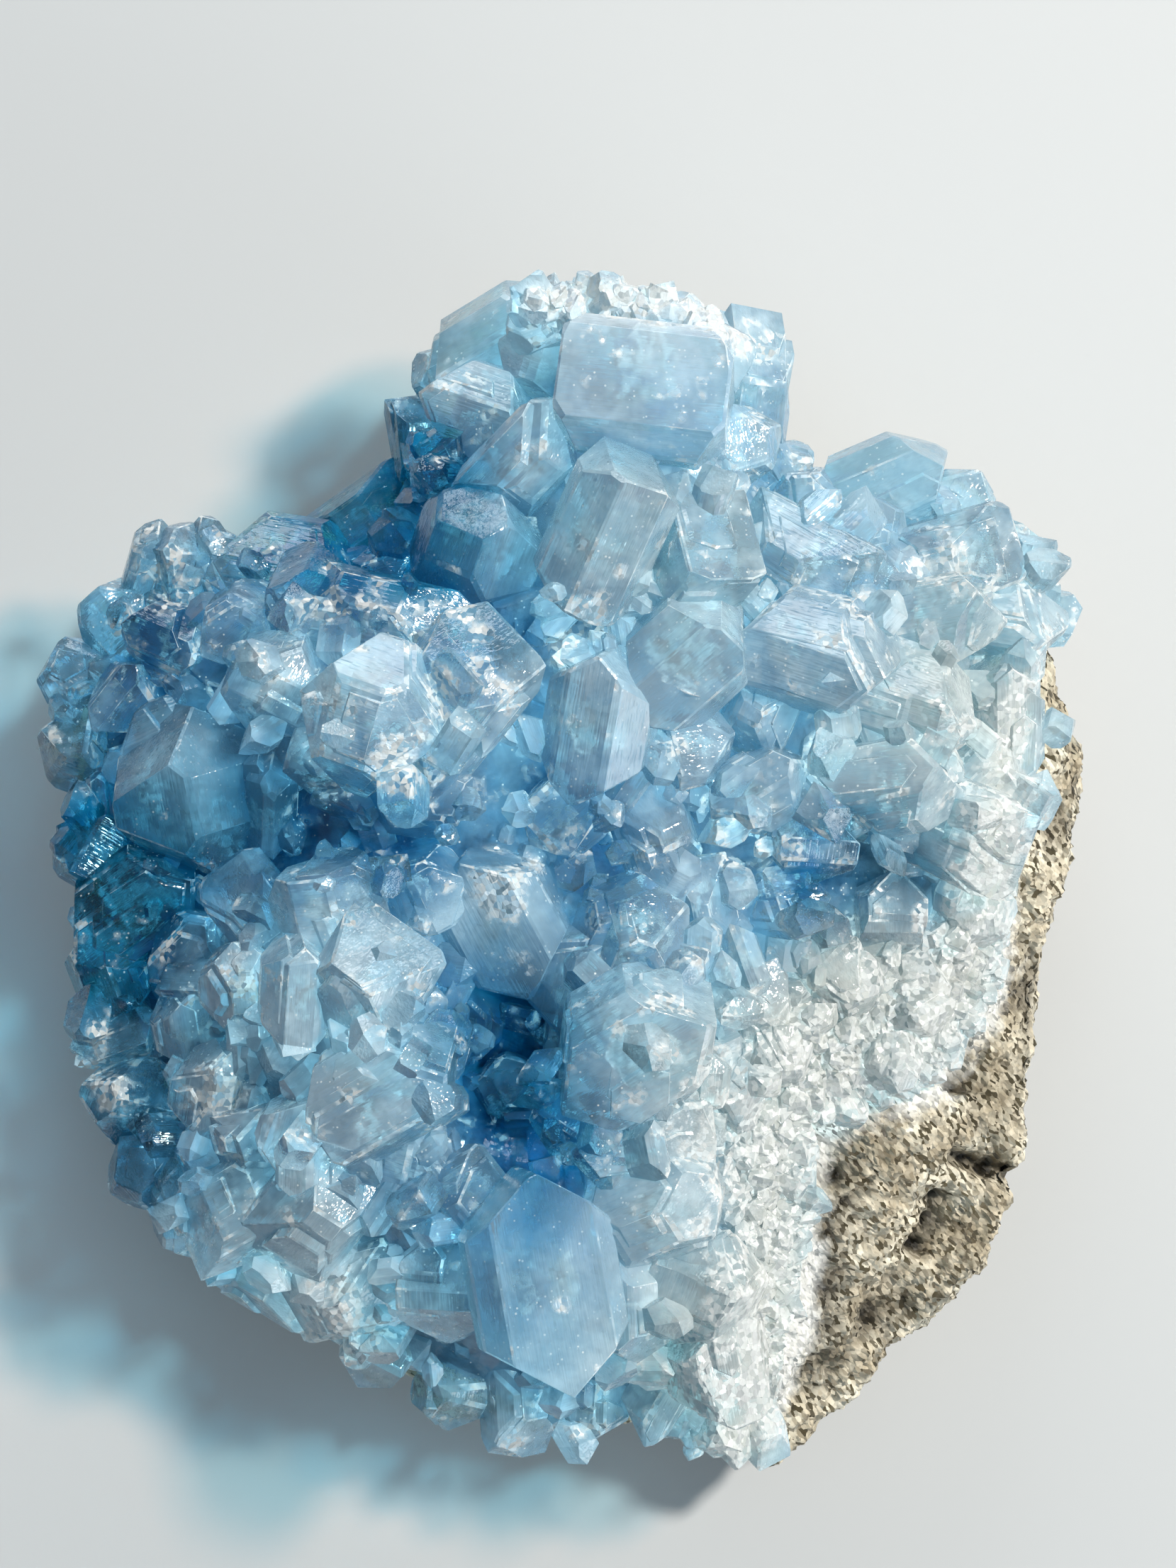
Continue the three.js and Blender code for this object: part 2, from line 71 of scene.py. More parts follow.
def randomFrom(seed):
    # Repeatable numbers from 0 to 1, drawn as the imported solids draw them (mulberry32).
    mask = 0xFFFFFFFF
    state = seed & mask

    def draw():
        nonlocal state
        state = (state + 0x6D2B79F5) & mask
        t = ((state ^ (state >> 15)) * (state | 1)) & mask
        t = (t ^ (t + (((t ^ (t >> 7)) * (t | 61)) & mask))) & mask
        return (t ^ (t >> 14)) / 4294967296

    return draw


def mix(low, high, share):
    # The value that lies a share of the way from low to high.
    return low + (high - low) * share


def smoothStep(value):
    # An even S from 0 to 1: three times the square less twice the cube.
    value = np.clip(value, 0, 1)
    return value * value * (3 - 2 * value)


def unit(vectors):
    # The same directions, one unit long.
    return vectors / np.maximum(np.linalg.norm(vectors, axis=-1, keepdims=True), 1e-9)


def spokes(count, low=0.0, high=2 * math.pi):
    # Evenly spread directions in plan, the last of which stops short of the first.
    return np.linspace(low, high, count, endpoint=False)


def latticeValue(i, j, k):
    # A repeatable value from -1 to 1 for each whole-number place.
    wave = np.sin(i * 127.1 + j * 311.7 + k * 74.7) * 43758.5453
    return 2 * (wave - np.floor(wave)) - 1


def lumps(x, y, z, size):
    # Smooth lumps: lattice values blended over a cell of the given size.
    x, y, z = np.broadcast_arrays(np.asarray(x, float), y, z)
    i, j, k = np.floor(x / size), np.floor(y / size), np.floor(z / size)
    u, v, w = smoothStep(x / size - i), smoothStep(y / size - j), smoothStep(z / size - k)
    blended = 0
    for di, dj, dk in itertools.product((0, 1), repeat=3):
        weight = (u if di else 1 - u) * (v if dj else 1 - v) * (w if dk else 1 - w)
        blended = blended + weight * latticeValue(i + di, j + dj, k + dk)
    return blended


def grains(x, y, z, size):
    # Distance to the nearest of a cloud of points, one at a chance place in each cell of the given
    # size, as a share of that size: small inside a grain, large between grains.
    i, j, k = np.floor(x / size), np.floor(y / size), np.floor(z / size)
    nearest = np.full(np.shape(x), 9.0)
    for di, dj, dk in itertools.product((-1, 0, 1), repeat=3):
        a, b, c = i + di, j + dj, k + dk
        px = a + 0.5 + 0.45 * latticeValue(a, b, c)
        py = b + 0.5 + 0.45 * latticeValue(a + 31, b, c)
        pz = c + 0.5 + 0.45 * latticeValue(a, b + 57, c)
        far = np.sqrt((x / size - px) ** 2 + (y / size - py) ** 2 + (z / size - pz) ** 2)
        nearest = np.minimum(nearest, far)
    return nearest


def meshFrom(points, faces):
    # A mesh from arrays of points and of faces.
    mesh = bpy.data.meshes.new("mesh")
    mesh.from_pydata(np.asarray(points).tolist(), [], np.asarray(faces).tolist())
    mesh.update()
    return mesh


def meshArrays(mesh):
    # A triangle mesh's points, and the three corners of each of its faces.
    points = np.empty((len(mesh.vertices), 3), np.float32)
    faces = np.empty((len(mesh.loops) // 3, 3), np.int32)
    mesh.vertices.foreach_get("co", points.ravel())
    mesh.loops.foreach_get("vertex_index", faces.ravel())
    return points, faces


attributeKinds = {(): ("FLOAT", "value"), (3,): ("FLOAT_VECTOR", "vector"), (4,): ("FLOAT_COLOR", "color")}


def addAttribute(mesh, name, domain, values):
    # A named number, vector of three or colour of four on each point, face or corner.
    values = np.asarray(values, np.float32)
    kind, key = attributeKinds[values.shape[1:]]
    mesh.attributes.new(name, kind, domain).data.foreach_set(key, values.ravel())


def newPiece(name, mesh, slot=None):
    # An object at the origin. Given a slot, it is a piece of the specimen and rides on its one body.
    mesh.name = name
    piece = bpy.data.objects.new(name, mesh)
    bpy.context.scene.collection.objects.link(piece)
    if slot:
        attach(piece, "root")
    return piece


# The form of the rock under the crystals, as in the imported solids, apart from the edge of the
# crystals on the right: it is drawn in there, and more of the rock shows.

bed = {
    "middle": 27,  # heights of the rock under the crystals
    "rim": 14.5,
    "crust": 3.2,  # thickness of the layer that the crystals share, inside and at its edge
    "crustEdge": 1.2,
    "domePower": 3.2,  # the higher, the flatter the middle and the steeper the fall to the rim
    "swellPower": 6,
    "crustPower": 4,
    "backPower": 1.6,
    "roughSize": 8,  # lumps of the broken rock
    "roughDepth": 1.7,
    "restMiddle": (1, -1),  # the flat that the rock stands on
    "restRadius": 19,
    "rimLift": 5.6,  # how far the back rises to the rim
    "backRoughness": 0.9,
    "backFade": 4,  # over how much of the back its lumps grow full
    "undercut": 0.07,  # how far the back is drawn in from the rim, as a share of its reach
}

rockRim = [
    (47.4, 4), (48.3, 12), (44.5, 22), (41, 30), (34, 35), (24, 36), (18, 44), (8, 49.5), (-3, 49.5),
    (-11, 43), (-14, 34), (-24, 29.5), (-35, 28), (-42, 19), (-43.5, 11), (-41, 2), (-40.5, -6),
    (-37.5, -16), (-35, -26), (-30, -35), (-20, -41.5), (-9, -47), (2, -48.6), (11, -49.5), (19.4, -53),
    (25.5, -48.4), (32.5, -41.5), (38.6, -35.4), (42.3, -25.5), (43.7, -15), (45, -5),
]

crustEdge = [
    (41, 4), (42.5, 12), (43.8, 20), (41, 30), (34, 35), (24, 36), (18, 44), (8, 49.5), (-3, 49.5),
    (-11, 43), (-14, 34), (-24, 29.5), (-35, 28), (-42, 19), (-43.5, 11), (-41, 2), (-40.5, -6),
    (-37.5, -16), (-35, -26), (-30, -35), (-20, -41.5), (-9, -47), (2, -48.6), (11, -49.5), (18.2, -50),
    (20, -40), (22, -33), (22.5, -26.5), (21.5, -21.5), (30, -20), (37, -16.5), (40.5, -6),
]

# Swells and hollows under the crystals: x, y, radius, height.
swells = [
    (5, 43, 14, 13), (-15, 16, 11, 8), (-34, 25, 11, 4), (-37, -3, 11, -5), (-20, -14, 11, 9),
    (-26, -29, 9, 4), (9, 24, 12, 7), (34, 25, 14, 6), (29, 8, 9, 4), (-4.5, -15, 7, -11),
    (27, -0.5, 4.5, -7), (-16, 33.5, 6, -6), (9, -17, 8, 4), (0, -37, 11, 7), (14, -41, 9, 3),
]

# Breaks in the bare rock: x, y, radius, depth.
rockBreaks = [
    (39, -26, 3.2, 3.2), (35.5, -31.5, 3.6, 3), (37, -18, 2.6, 1.6), (29, -38, 3.5, 1.6), (46, 8, 2.6, 1.2),
]

# Finer pits and cracks in it: x, y, radius, depth.
rockPits = [
    (35.8, -17.1, 1.5, 1.3), (36.4, -18.7, 1.1, 0.9), (36.5, -25.4, 0.9, 1.8), (38, -26, 0.9, 2.2),
    (39.6, -26.6, 0.9, 2.2), (41.2, -27.2, 0.9, 1.9), (34.8, -29.6, 1.0, 1.6), (34.2, -31.6, 1.1, 2.0),
    (33.2, -33.8, 1.0, 1.6), (24, -24.5, 0.8, 0.8), (25.3, -27, 0.8, 0.9), (26.6, -29.5, 0.8, 0.9),
    (27.6, -31.2, 0.7, 0.8), (24.6, -35, 0.9, 0.9), (24.8, -37.5, 0.8, 0.8), (29.5, -40, 0.9, 0.9),
    (32, -39.4, 0.8, 0.7), (40.5, -12, 0.9, 0.8), (42.5, -6, 0.8, 0.7),
]


def reachOf(outline, angle):
    # How far a closed plan outline reaches in each direction: where the ray crosses the side it meets.
    start = np.array(outline, float)
    run = np.roll(start, -1, axis=0) - start
    dx, dy = np.cos(angle)[..., None], np.sin(angle)[..., None]
    with np.errstate(divide="ignore", invalid="ignore"):
        side = dx * run[:, 1] - dy * run[:, 0]
        reach = (start[:, 0] * run[:, 1] - start[:, 1] * run[:, 0]) / side
        along = (start[:, 0] * dy - start[:, 1] * dx) / side
    met = (reach > 0) & (along >= -1e-9) & (along <= 1 + 1e-9)
    return np.where(met, reach, 0).max(-1)


def sumOf(rows, x, y):
    # The sum of round swells at each place in plan.
    total = 0
    for placeX, placeY, radius, height in rows:
        total = total + height * np.exp(-((x - placeX) ** 2 + (y - placeY) ** 2) / radius ** 2)
    return total


def shareOf(outline, x, y):
    # How far out a place lies: 0 in the middle, 1 on the outline and past it.
    return np.minimum(np.hypot(x, y) / reachOf(outline, np.arctan2(y, x)), 1)


def bedHeight(x, y):
    # A dome with swells, falling to the rim.
    share = shareOf(rockRim, x, y)
    dome = mix(bed["middle"], bed["rim"], share ** bed["domePower"])
    return dome + sumOf(swells, x, y) * (1 - share ** bed["swellPower"])


def crustTop(x, y):
    # The upper face of the layer that the crystals share, thinner towards its edge.
    share = shareOf(crustEdge, x, y)
    return bedHeight(x, y) + mix(bed["crust"], bed["crustEdge"], share ** bed["crustPower"])


def rockTop(x, y):
    # The rock's broken upper face: the bed less its breaks, with lumps.
    rough = bed["roughDepth"] * lumps(x, y, 0, bed["roughSize"])
    return bedHeight(x, y) - sumOf(rockBreaks, x, y) + rough


def pastRest(x, y):
    # How far a place lies outside the flat that the rock stands on, and below 0 inside it.
    return np.hypot(x - bed["restMiddle"][0], y - bed["restMiddle"][1]) - bed["restRadius"]


def rockBack(x, y):
    # The rock's back: flat at the resting spot, rising to the rim with lumps.
    past = np.maximum(pastRest(x, y), 0)
    rim = reachOf(rockRim, np.arctan2(y, x))
    share = np.minimum(past / np.maximum(rim - bed["restRadius"], 1), 1)
    rough = bed["backRoughness"] * (1 + lumps(x, y, 40, bed["roughSize"]))
    return bed["rimLift"] * share ** bed["backPower"] + rough * np.minimum(past / bed["backFade"], 1)


def zoneAt(zones, x, y):
    # How strongly a place belongs to round zones in plan, each full at its middle and gone past its radius.
    total = sum(s * np.exp(-(((x - cx) ** 2 + (y - cy) ** 2) / r ** 2) ** 2) for cx, cy, r, s in zones)
    return np.clip(total, 0, 1)


def planGrid(outline, angles, shares, height, grow=0.0):
    # Rings of points over a plan: each is a share of the outline's reach out from the middle, in
    # every direction, at the height that the place in plan gives.
    share, angle = np.meshgrid(shares, angles, indexing="ij")
    out = (reachOf(outline, angles)[None, :] + grow) * share
    x, y = out * np.cos(angle), out * np.sin(angle)
    return np.stack([x, y, height(x, y)], -1)


def closedRings(rings):
    # A closed surface from rings of points, the first and last of which shrink to a pole at their
    # middle: two triangles for each step along and across the rings, and one for each step round a
    # pole. They face outwards when the first pole is up.
    ringCount, spokeCount = rings.shape[:2]
    points = np.concatenate([rings.reshape(-1, 3), rings[:1].mean(1), rings[-1:].mean(1)])
    ring, spoke = np.meshgrid(np.arange(ringCount - 1), np.arange(spokeCount), indexing="ij")
    nextSpoke = (spoke + 1) % spokeCount
    inner, outer = ring * spokeCount, (ring + 1) * spokeCount
    one = np.stack([inner + spoke, outer + spoke, outer + nextSpoke], -1).reshape(-1, 3)
    two = np.stack([inner + spoke, outer + nextSpoke, inner + nextSpoke], -1).reshape(-1, 3)
    around = np.arange(spokeCount)
    after = (around + 1) % spokeCount
    last = (ringCount - 1) * spokeCount
    top = np.stack([np.full(spokeCount, len(points) - 2), around, after], -1)
    bottom = np.stack([np.full(spokeCount, len(points) - 1), last + after, last + around], -1)
    return points, np.concatenate([one, two, top, bottom])


# Crystals

# x, y, rise above the bed, length, width, thickness, then turn, pitch and roll in degrees:
# turn is the way its length points in plan, pitch lifts that end, roll is about its length.

crest = [
    (-4.8, 47.6, 3, 13, 11.5, 11, 30, 12, 20), (7.8, 41.8, 6.5, 15.5, 12.5, 13, -7, 3, -10),
    (17, 44, 4, 11, 7.5, 9, 82, 8, 25), (4.6, 49.4, 14, 9, 5.5, 7, -8, 10, 12),
    (13, 47.6, 12, 8.5, 5.5, 6.5, -28, 5, -20), (-10.6, 46, 0, 6, 5.2, 5.5, 60, 20, 0),
    (-6.5, 42, 3, 10, 8.5, 9, -20, 15, 14), (-9, 37.5, 1.5, 8, 7, 7, 30, 25, -12),
    (-2.5, 36.5, 3, 8.6, 8, 8, 45, 20, 30), (5, 37.6, 2.5, 10, 6, 7, -15, 25, 40),
    (15, 37.8, 3, 9.5, 8, 8, 100, 35, 15), (11, 35.5, 2.5, 8, 7, 7, 70, 30, 5),
    (-12.4, 39.5, -1, 7, 6, 6.5, 100, 0, 20), (-17.5, 32, -0.5, 10, 8, 8, 35, 5, -15),
    (-12, 31, 0, 8, 7, 7, -40, 10, 15), (-1, 49.6, 12, 7, 5.5, 7, 20, 10, 25),
    (9, 48.6, 14.5, 7.5, 5.5, 7, 10, 5, 35), (20.6, 37.2, 0, 6.5, 5.5, 6, 40, 10, 20),
    (5, 47, 6, 11, 7.5, 10, 5, 5, 15), (-1, 47, 5, 9, 7, 9, -20, 5, 20), (11, 46, 5, 9, 7, 9, 25, 5, -15),
]

upperMiddle = [
    (-7, 29, 3, 12.5, 10.5, 10, 70, 15, -20), (4.5, 29.5, 5, 14, 9.5, 9.5, 65, 25, 20),
    (13, 28, 4, 10, 9.5, 9, 20, 15, -25), (22, 28, 2.5, 9, 8.5, 8.5, -30, 20, 20),
    (22.5, 33.5, 1, 7.5, 6.5, 7, 0, 10, 12), (-15, 26.8, 0.5, 8, 7, 7, 15, 20, -10),
]

leftShoulder = [
    (-24.5, 28.8, 2.5, 11.5, 8.6, 9, -10, 15, 20), (-40, 23.8, 1, 7, 6.5, 7, 40, 20, 0),
    (-37.6, 27.6, 1, 9, 4.6, 6, 70, 35, 10), (-34.4, 27.6, 2, 9, 5, 6, 92, 38, -10),
    (-31, 28.4, 1.5, 9, 5, 6, 112, 32, 20), (-43.5, 19, 0, 7.5, 6.5, 7, 115, 20, 5),
    (-44, 12, -0.5, 7.5, 6.4, 7, 160, 15, 30), (-28, 23, 1.5, 7.5, 6, 7, 30, 20, 15),
    (-34.5, 21.5, 1, 7.5, 6.5, 7, -25, 25, 20), (-38.5, 16.5, 0.5, 7.5, 6.5, 7, 50, 20, -15),
]

leftMiddle = [
    (-21.8, 24, 3.2, 9.5, 8.5, 8.5, 20, 20, 25), (-15.8, 13.6, 5.5, 13, 11, 10.5, -20, 14, 20),
    (-9, 14.6, 4.5, 11.5, 10, 9.5, 50, 20, -20), (-24.4, 16.8, 2.5, 10, 8.6, 8.5, 60, 25, 10),
    (-15.8, 22.6, 3.5, 11, 8.5, 8.5, -15, 20, -20), (-20.4, 10.6, 1.5, 7, 5.6, 6, 75, 25, 0),
    (-12, 7, 1.5, 8, 7, 7, 10, 30, 20),
]

leftFlank = [
    (-32, 7.6, 2, 14.5, 13.5, 12.5, 100, 15, 30), (-25.6, 6.6, 1, 9, 5, 6.5, 85, 40, 0),
    (-35, 13.4, 1, 7, 6.5, 7, 20, 25, 20), (-42.4, 2, -0.5, 7.5, 6.5, 7, 150, 15, 10),
    (-38, -2.4, 0.5, 11.5, 10, 10, 35, 10, 20), (-42.2, -4.2, -1.5, 5, 4.6, 5, 60, 10, 30),
    (-41.6, 6.6, -2.5, 6.5, 5, 6.5, 95, 10, 0),
    (-40.6, -8.4, 0, 8.5, 7.4, 7.5, 110, 20, -20), (-40, -14, -0.5, 7, 6.2, 6.5, 20, 20, 10),
    (-38.2, -20.6, 0, 9, 7.8, 8, 70, 15, 20), (-36.6, -26, -0.5, 8, 7.4, 7.5, 130, 20, 0),
    (-32.6, -6.4, 1, 8, 7.2, 7.5, 45, 20, -10), (-33, -13.6, 1, 8, 7, 7, 100, 20, 15),
]

centreRight = [
    (11.5, 18.6, 4.5, 11.5, 10.5, 9.5, 40, 20, 20), (4, 13.2, 5.5, 13, 9.6, 9.5, 80, 20, -15),
    (23, 19, 4.5, 13.5, 10.5, 9.5, -15, 15, 25), (12, 11.4, 2.5, 7.5, 6.6, 7, 10, 25, 10),
    (18, 14.4, 1.5, 7, 6.4, 6.5, 65, 20, -15), (31, 15, 3, 13, 9, 9, -20, 15, 20),
    (18.4, 7.4, 2.5, 8, 7.2, 7.5, 30, 20, -10), (22.4, 3, 2.5, 8, 7.6, 7.5, 80, 20, 20),
    (29.6, 7.4, 3.5, 11, 8, 8, 10, 20, -20), (36.4, 4.2, 3, 12.5, 8.8, 8.5, -25, 15, 20),
    (1, 5.6, 2, 8, 7, 7, 40, 20, 10), (8.6, 4, 1.5, 8, 6.6, 7, 110, 20, 20),
]

rightLobe = [
    (30, 35.8, 3, 10.5, 9.2, 9.5, 22, 14, 15), (36.8, 34, 2, 7, 6, 6.5, 60, 25, 0),
    (41.4, 29.2, 0.5, 7.4, 6.4, 7, -15, 20, 20), (40.6, 23, 2.5, 10, 8.6, 9, -10, 20, 20),
    (33, 22.4, 3, 11.5, 8.4, 8, 10, 20, -20), (35.6, 28.6, 3, 11, 7.8, 8, 15, 15, 10),
    (40.4, 14.6, 1.5, 10, 6.5, 7, 92, 20, 10), (38, 8.4, 1.5, 8.5, 7.4, 7, 45, 15, -20),
    (28, 30.6, 2, 8, 7, 7, 100, 25, 10), (27.4, 24, 1.5, 7.5, 6.6, 7, 40, 20, -20),
]

cavityWalls = [
    (-4.4, -4, 0.5, 13.5, 11, 9, -62, -12, 20), (1.6, -8.6, 1, 11, 8.4, 8.5, 75, 25, 30),
    (6.8, -5, 3, 9.6, 8.4, 8, 20, 15, -20), (-11.5, -1.4, 1.5, 8, 7, 7, 10, 25, 20),
    (-8, -13, -1, 7, 6, 6.5, 80, 30, 0), (-4, -20, 0.5, 7.5, 6.4, 6.5, 40, 30, -20),
]

lowerLeft = [
    (-19.4, -3, 3.5, 11.5, 7.8, 8, 5, 20, 20), (-22.6, -10.4, 2.5, 9.5, 7.2, 7.5, 85, 20, 10),
    (-15.8, -9.8, 4.5, 10.5, 9.6, 9, 60, 15, -20), (-15, -19, 4.5, 12, 10.6, 9.5, 30, 20, 20),
    (-28, -10, 1.5, 9, 6.6, 7, 95, 20, 0), (-31, -19.4, 2, 9.5, 7.6, 8, 80, 20, 20),
    (-11, -14.6, 1.5, 7, 6.4, 6.5, 20, 20, 20), (-32.4, -29.4, 0.5, 11, 7.6, 8, 100, 20, 15),
    (-27.2, -29.6, 2.5, 9.5, 8.6, 8.5, 30, 15, -20), (-20.6, -29.4, 3.5, 10.5, 9.4, 9, 50, 20, 20),
    (-22.6, -22.6, 2.5, 7.5, 7, 7, 70, 20, 0), (-13, -25.6, 2.5, 8, 7, 7, -20, 20, 20),
    (-27, -23.6, 1.5, 6.8, 6, 6.5, 10, 20, 20), (-26.6, -3, 1.5, 7.5, 6.6, 7, 130, 20, -10),
]

lowestLobe = [
    (-1, -35.8, 6.5, 20, 13, 8.5, 100, 6, 12), (-9.6, -36.6, 3, 10, 8, 8, 92, 20, -15),
    (-19, -37.6, 1.5, 9.5, 7.6, 8, 15, 20, 30), (-16.6, -43, 0, 7, 6.4, 6.5, 60, 15, 10),
    (-9.6, -46.6, -2, 8, 6, 6.5, 80, 10, 20), (-25.6, -36.6, 0, 7.6, 6.8, 7, -30, 20, 15),
    (-3.6, -47.4, -2, 7.4, 6.6, 6.5, 95, 10, 30), (3.6, -47.2, -2, 7.6, 6.4, 6.5, 85, 10, -20),
    (-8, -29, 2.5, 8.4, 7.6, 7.5, 30, 20, 20), (6.6, -38, 3.5, 10, 5.4, 7, 92, 15, 30),
    (6.8, -15.2, 5.5, 14.5, 12, 10.5, 30, 12, 25), (2.4, -22, 3, 9, 8, 8, 60, 20, -10),
    (9, -22.6, 3, 9.6, 7.4, 7.5, -10, 20, 20), (9, -29.6, 4, 12.5, 10, 9.5, 25, 20, 20),
    (13.4, -36.4, 3, 10.5, 9, 8.5, 70, 20, -15), (14.6, -43.4, 3, 11, 9.6, 9, 100, 15, 20),
    (9.4, -47, 0, 7.4, 6.4, 6.5, 60, 15, 20), (16.2, -49.4, -0.5, 7.5, 4.6, 5, 84, 10, 10),
    (18.4, -49.6, -1, 6.5, 4, 4.5, 112, 5, 30), (13.6, -49, -1, 6, 4.2, 4.5, 70, 10, -15),
]

largeCrystals = [
    *crest, *upperMiddle, *leftShoulder, *leftMiddle, *leftFlank, *centreRight, *rightLobe,
    *cavityWalls, *lowerLeft, *lowestLobe,
]

cell = np.array([8.359, 5.352, 6.866])  # celestite's cell in ångströms, which sets its face angles


def formFaces(h, k, l):
    # The directions of every face of a form: its indices with all signs, over the cell's sides.
    signs = np.array(list(itertools.product((1, -1), repeat=3)))
    faces = np.array(list(dict.fromkeys(map(tuple, signs * (h, k, l)))), float) / cell
    return unit(faces)


forms = {
    "side": formFaces(0, 1, 0),
    "end": formFaces(1, 0, 0),
    "base": formFaces(0, 0, 1),
    "wedge": formFaces(2, 1, 0),
    "dome": formFaces(0, 1, 1),
    "slope": formFaces(1, 0, 1),
}

# Which forms a crystal shows. The larger ones take one of the rich habits.
habits = [
    ("base", "dome", "wedge", "slope"), ("base", "side", "dome", "slope"),
    ("base", "side", "wedge", "slope"), ("base", "side", "dome", "wedge"),
]
richHabits = [("base", "dome", "wedge", "slope"), ("base", "side", "dome", "wedge")]
blockHabit = ("base", "side", "end", "dome", "wedge")

# Crystals whose form is given: x and y, then the habit and the shares that wedge, dome and slope cut.
keyForms = {
    (7.8, 41.8): (blockHabit, (0.45, 0.4, 0.4)),
    (-1, -35.8): (richHabits[1], (0.95, 0.6, 0.5)),
    (-4.8, 47.6): (blockHabit, (0.7, 0.6, 0.5)),
    (-7, 29): (richHabits[0], (0.8, 0.7, 0.7)),
    (4.5, 29.5): (blockHabit, (0.5, 0.7, 0.5)),
    (-32, 7.6): (richHabits[0], (0.8, 0.6, 0.6)),
    (-4.4, -4): (richHabits[1], (0.9, 0.5, 0.5)),
    (4, 13.2): (richHabits[1], (0.8, 0.6, 0.5)),
    (11.5, 18.6): (blockHabit, (0.8, 0.7, 0.5)),
    (-15.8, 13.6): (richHabits[0], (0.9, 0.5, 0.7)),
}

# Where large faces stay smooth and evenly milky, clear of small crystals: x, y, radius, strength.
calmZones = [
    (7.8, 41.8, 8, 1), (-1, -35.8, 9, 1), (-7, 29, 6, 1), (4.5, 29.5, 5.5, 0.9), (-32, 7.6, 7, 1),
    (11.5, 18.6, 5.5, 0.9), (4, 13.2, 5, 0.9), (-5, -6, 6, 1), (6.8, -15.2, 5.5, 0.4), (-2.5, 36.5, 4, 0.5),
    (30, 35.8, 5, 0.8), (-17, 33, 5, 0.5), (-4.8, 49.5, 5, 0.8),
]

# Where no small crystal grows out past the others: x, y, radius, strength.
openPlaces = [
    (25, 41.5, 3.5, 1), (48, 19.5, 3, 1), (-16, 46, 3, 1), (22, 50, 3, 1), (-47.5, -5, 3.5, 1),
    (-48, 19, 3, 1), (26, -0.5, 4, 1), (-37.5, 33, 3, 1), (31, 41, 3, 1),
]

crystalSettings = {
    "richVolume": 1150,  # a crystal with a larger box than this, in cubic millimetres, has a rich habit
    "richShare": 0.4,  # how many of those have the second one
    "cutShares": ((0.6, 0.98), (0.4, 0.9), (0.45, 0.9)),  # what wedge, dome and slope cut of an edge
    "chamfer": (0.08, 0.8),  # width of the worn edges of the large crystals
    "chamferPower": 2.2,  # the higher, the more of them are narrow
    "unequal": 0.12,  # how unequally the faces of one form have grown, as a share of their distance
    "broken": (3, 7),  # corners broken off a crystal: at least the first, and fewer than the second
    "brokenDepth": (0.03, 0.2),  # how deep, as a share of its reach
    "brokenTilt": 0.35,
    "keyFormRoughness": 0.35,  # how much of that unevenness and breakage a given form keeps
    "veils": 2,  # healed cracks inside each large crystal, and one more for each so many cubic mm
    "veilVolume": 500,
    "veilSize": (0.35, 0.75),  # as a share of the crystal's least reach
    "veilWithin": 0.4,  # how far out they lie, as a share of the crystal's size
    "layers": 2,  # parallel growths on each large crystal, and one more for each so many cubic mm
    "layerVolume": 420,
    "layerSize": (0.4, 0.85),  # size of a parallel growth as a share of its crystal's
    "layerStep": (0.1, 0.5),  # how far it stands out
    "layerTilt": 2.5,  # degrees
    "layerChamfer": 0.5,  # width of its worn edges as a share of its crystal's
    "patternShift": 60,  # how far apart the growth lines of two crystals may be in their pattern
    "creviceReach": 9,  # how near the walls are that make a place a crevice
    "creviceRays": 14,
    "crevicePower": 1.6,  # the higher, the more small crystals keep to the deepest crevices
    "templates": 28,  # different shapes among the small crystals
    "templateLength": 20,
    "templateWidth": (0.6, 0.95),  # as shares of the length
    "templateThickness": (0.5, 0.9),
    "templateCut": (0.35, 0.9),  # what wedge, dome and slope cut of an edge
    "smallUpward": 0.25,  # how much a small crystal turns upwards
    "smallRaised": (0.0, 0.3),  # how far its middle lies above the surface, as a share of its size
    "underside": -0.35,  # none grow where the surface looks further down than this, 1 being straight up
    "upperFace": 0.3,  # a satellite's surface looks at least this far up
    "satelliteSunk": (0.4, 0.1),  # how deep it sits, as a share of its size: in the open, and hidden
    "clearFrom": 0.4,  # how strong a calm or open zone is where it stays clear of small crystals
    "calmRise": 1.5,  # a calm zone does so only this far above the shared bed
    "lineSpread": 0.55,  # how far fine crystals stray from their line, as a share of its width
    "sugarPast": 0.6,  # how far they may lie past the crystals' edge, and how deep they are sunk
    "sugarSunk": 0.3,
    "rockGap": 0.1,  # clearance between the crystals and the rock
    "seed": 11,
}

# Small crystals: how many are tried, their least and largest size and how strongly small ones
# prevail, how much they lean by chance, and the way that the fine ones point.
smallKinds = {
    "crevice": {"count": 520, "size": (2.0, 5.6, 1.8), "spread": 0.55},
    "satellite": {"count": 90, "size": (3.0, 6.5, 1.6), "spread": 0.5},
    "sugar": {"count": 1800, "size": (0.8, 3.2, 1.5), "spread": 0.6, "way": (0.15, -0.1, 1)},
    "crest": {"count": 190, "size": (1.4, 3.6, 1.5), "spread": 0.5, "way": (0.1, 0.5, 0.9)},
}


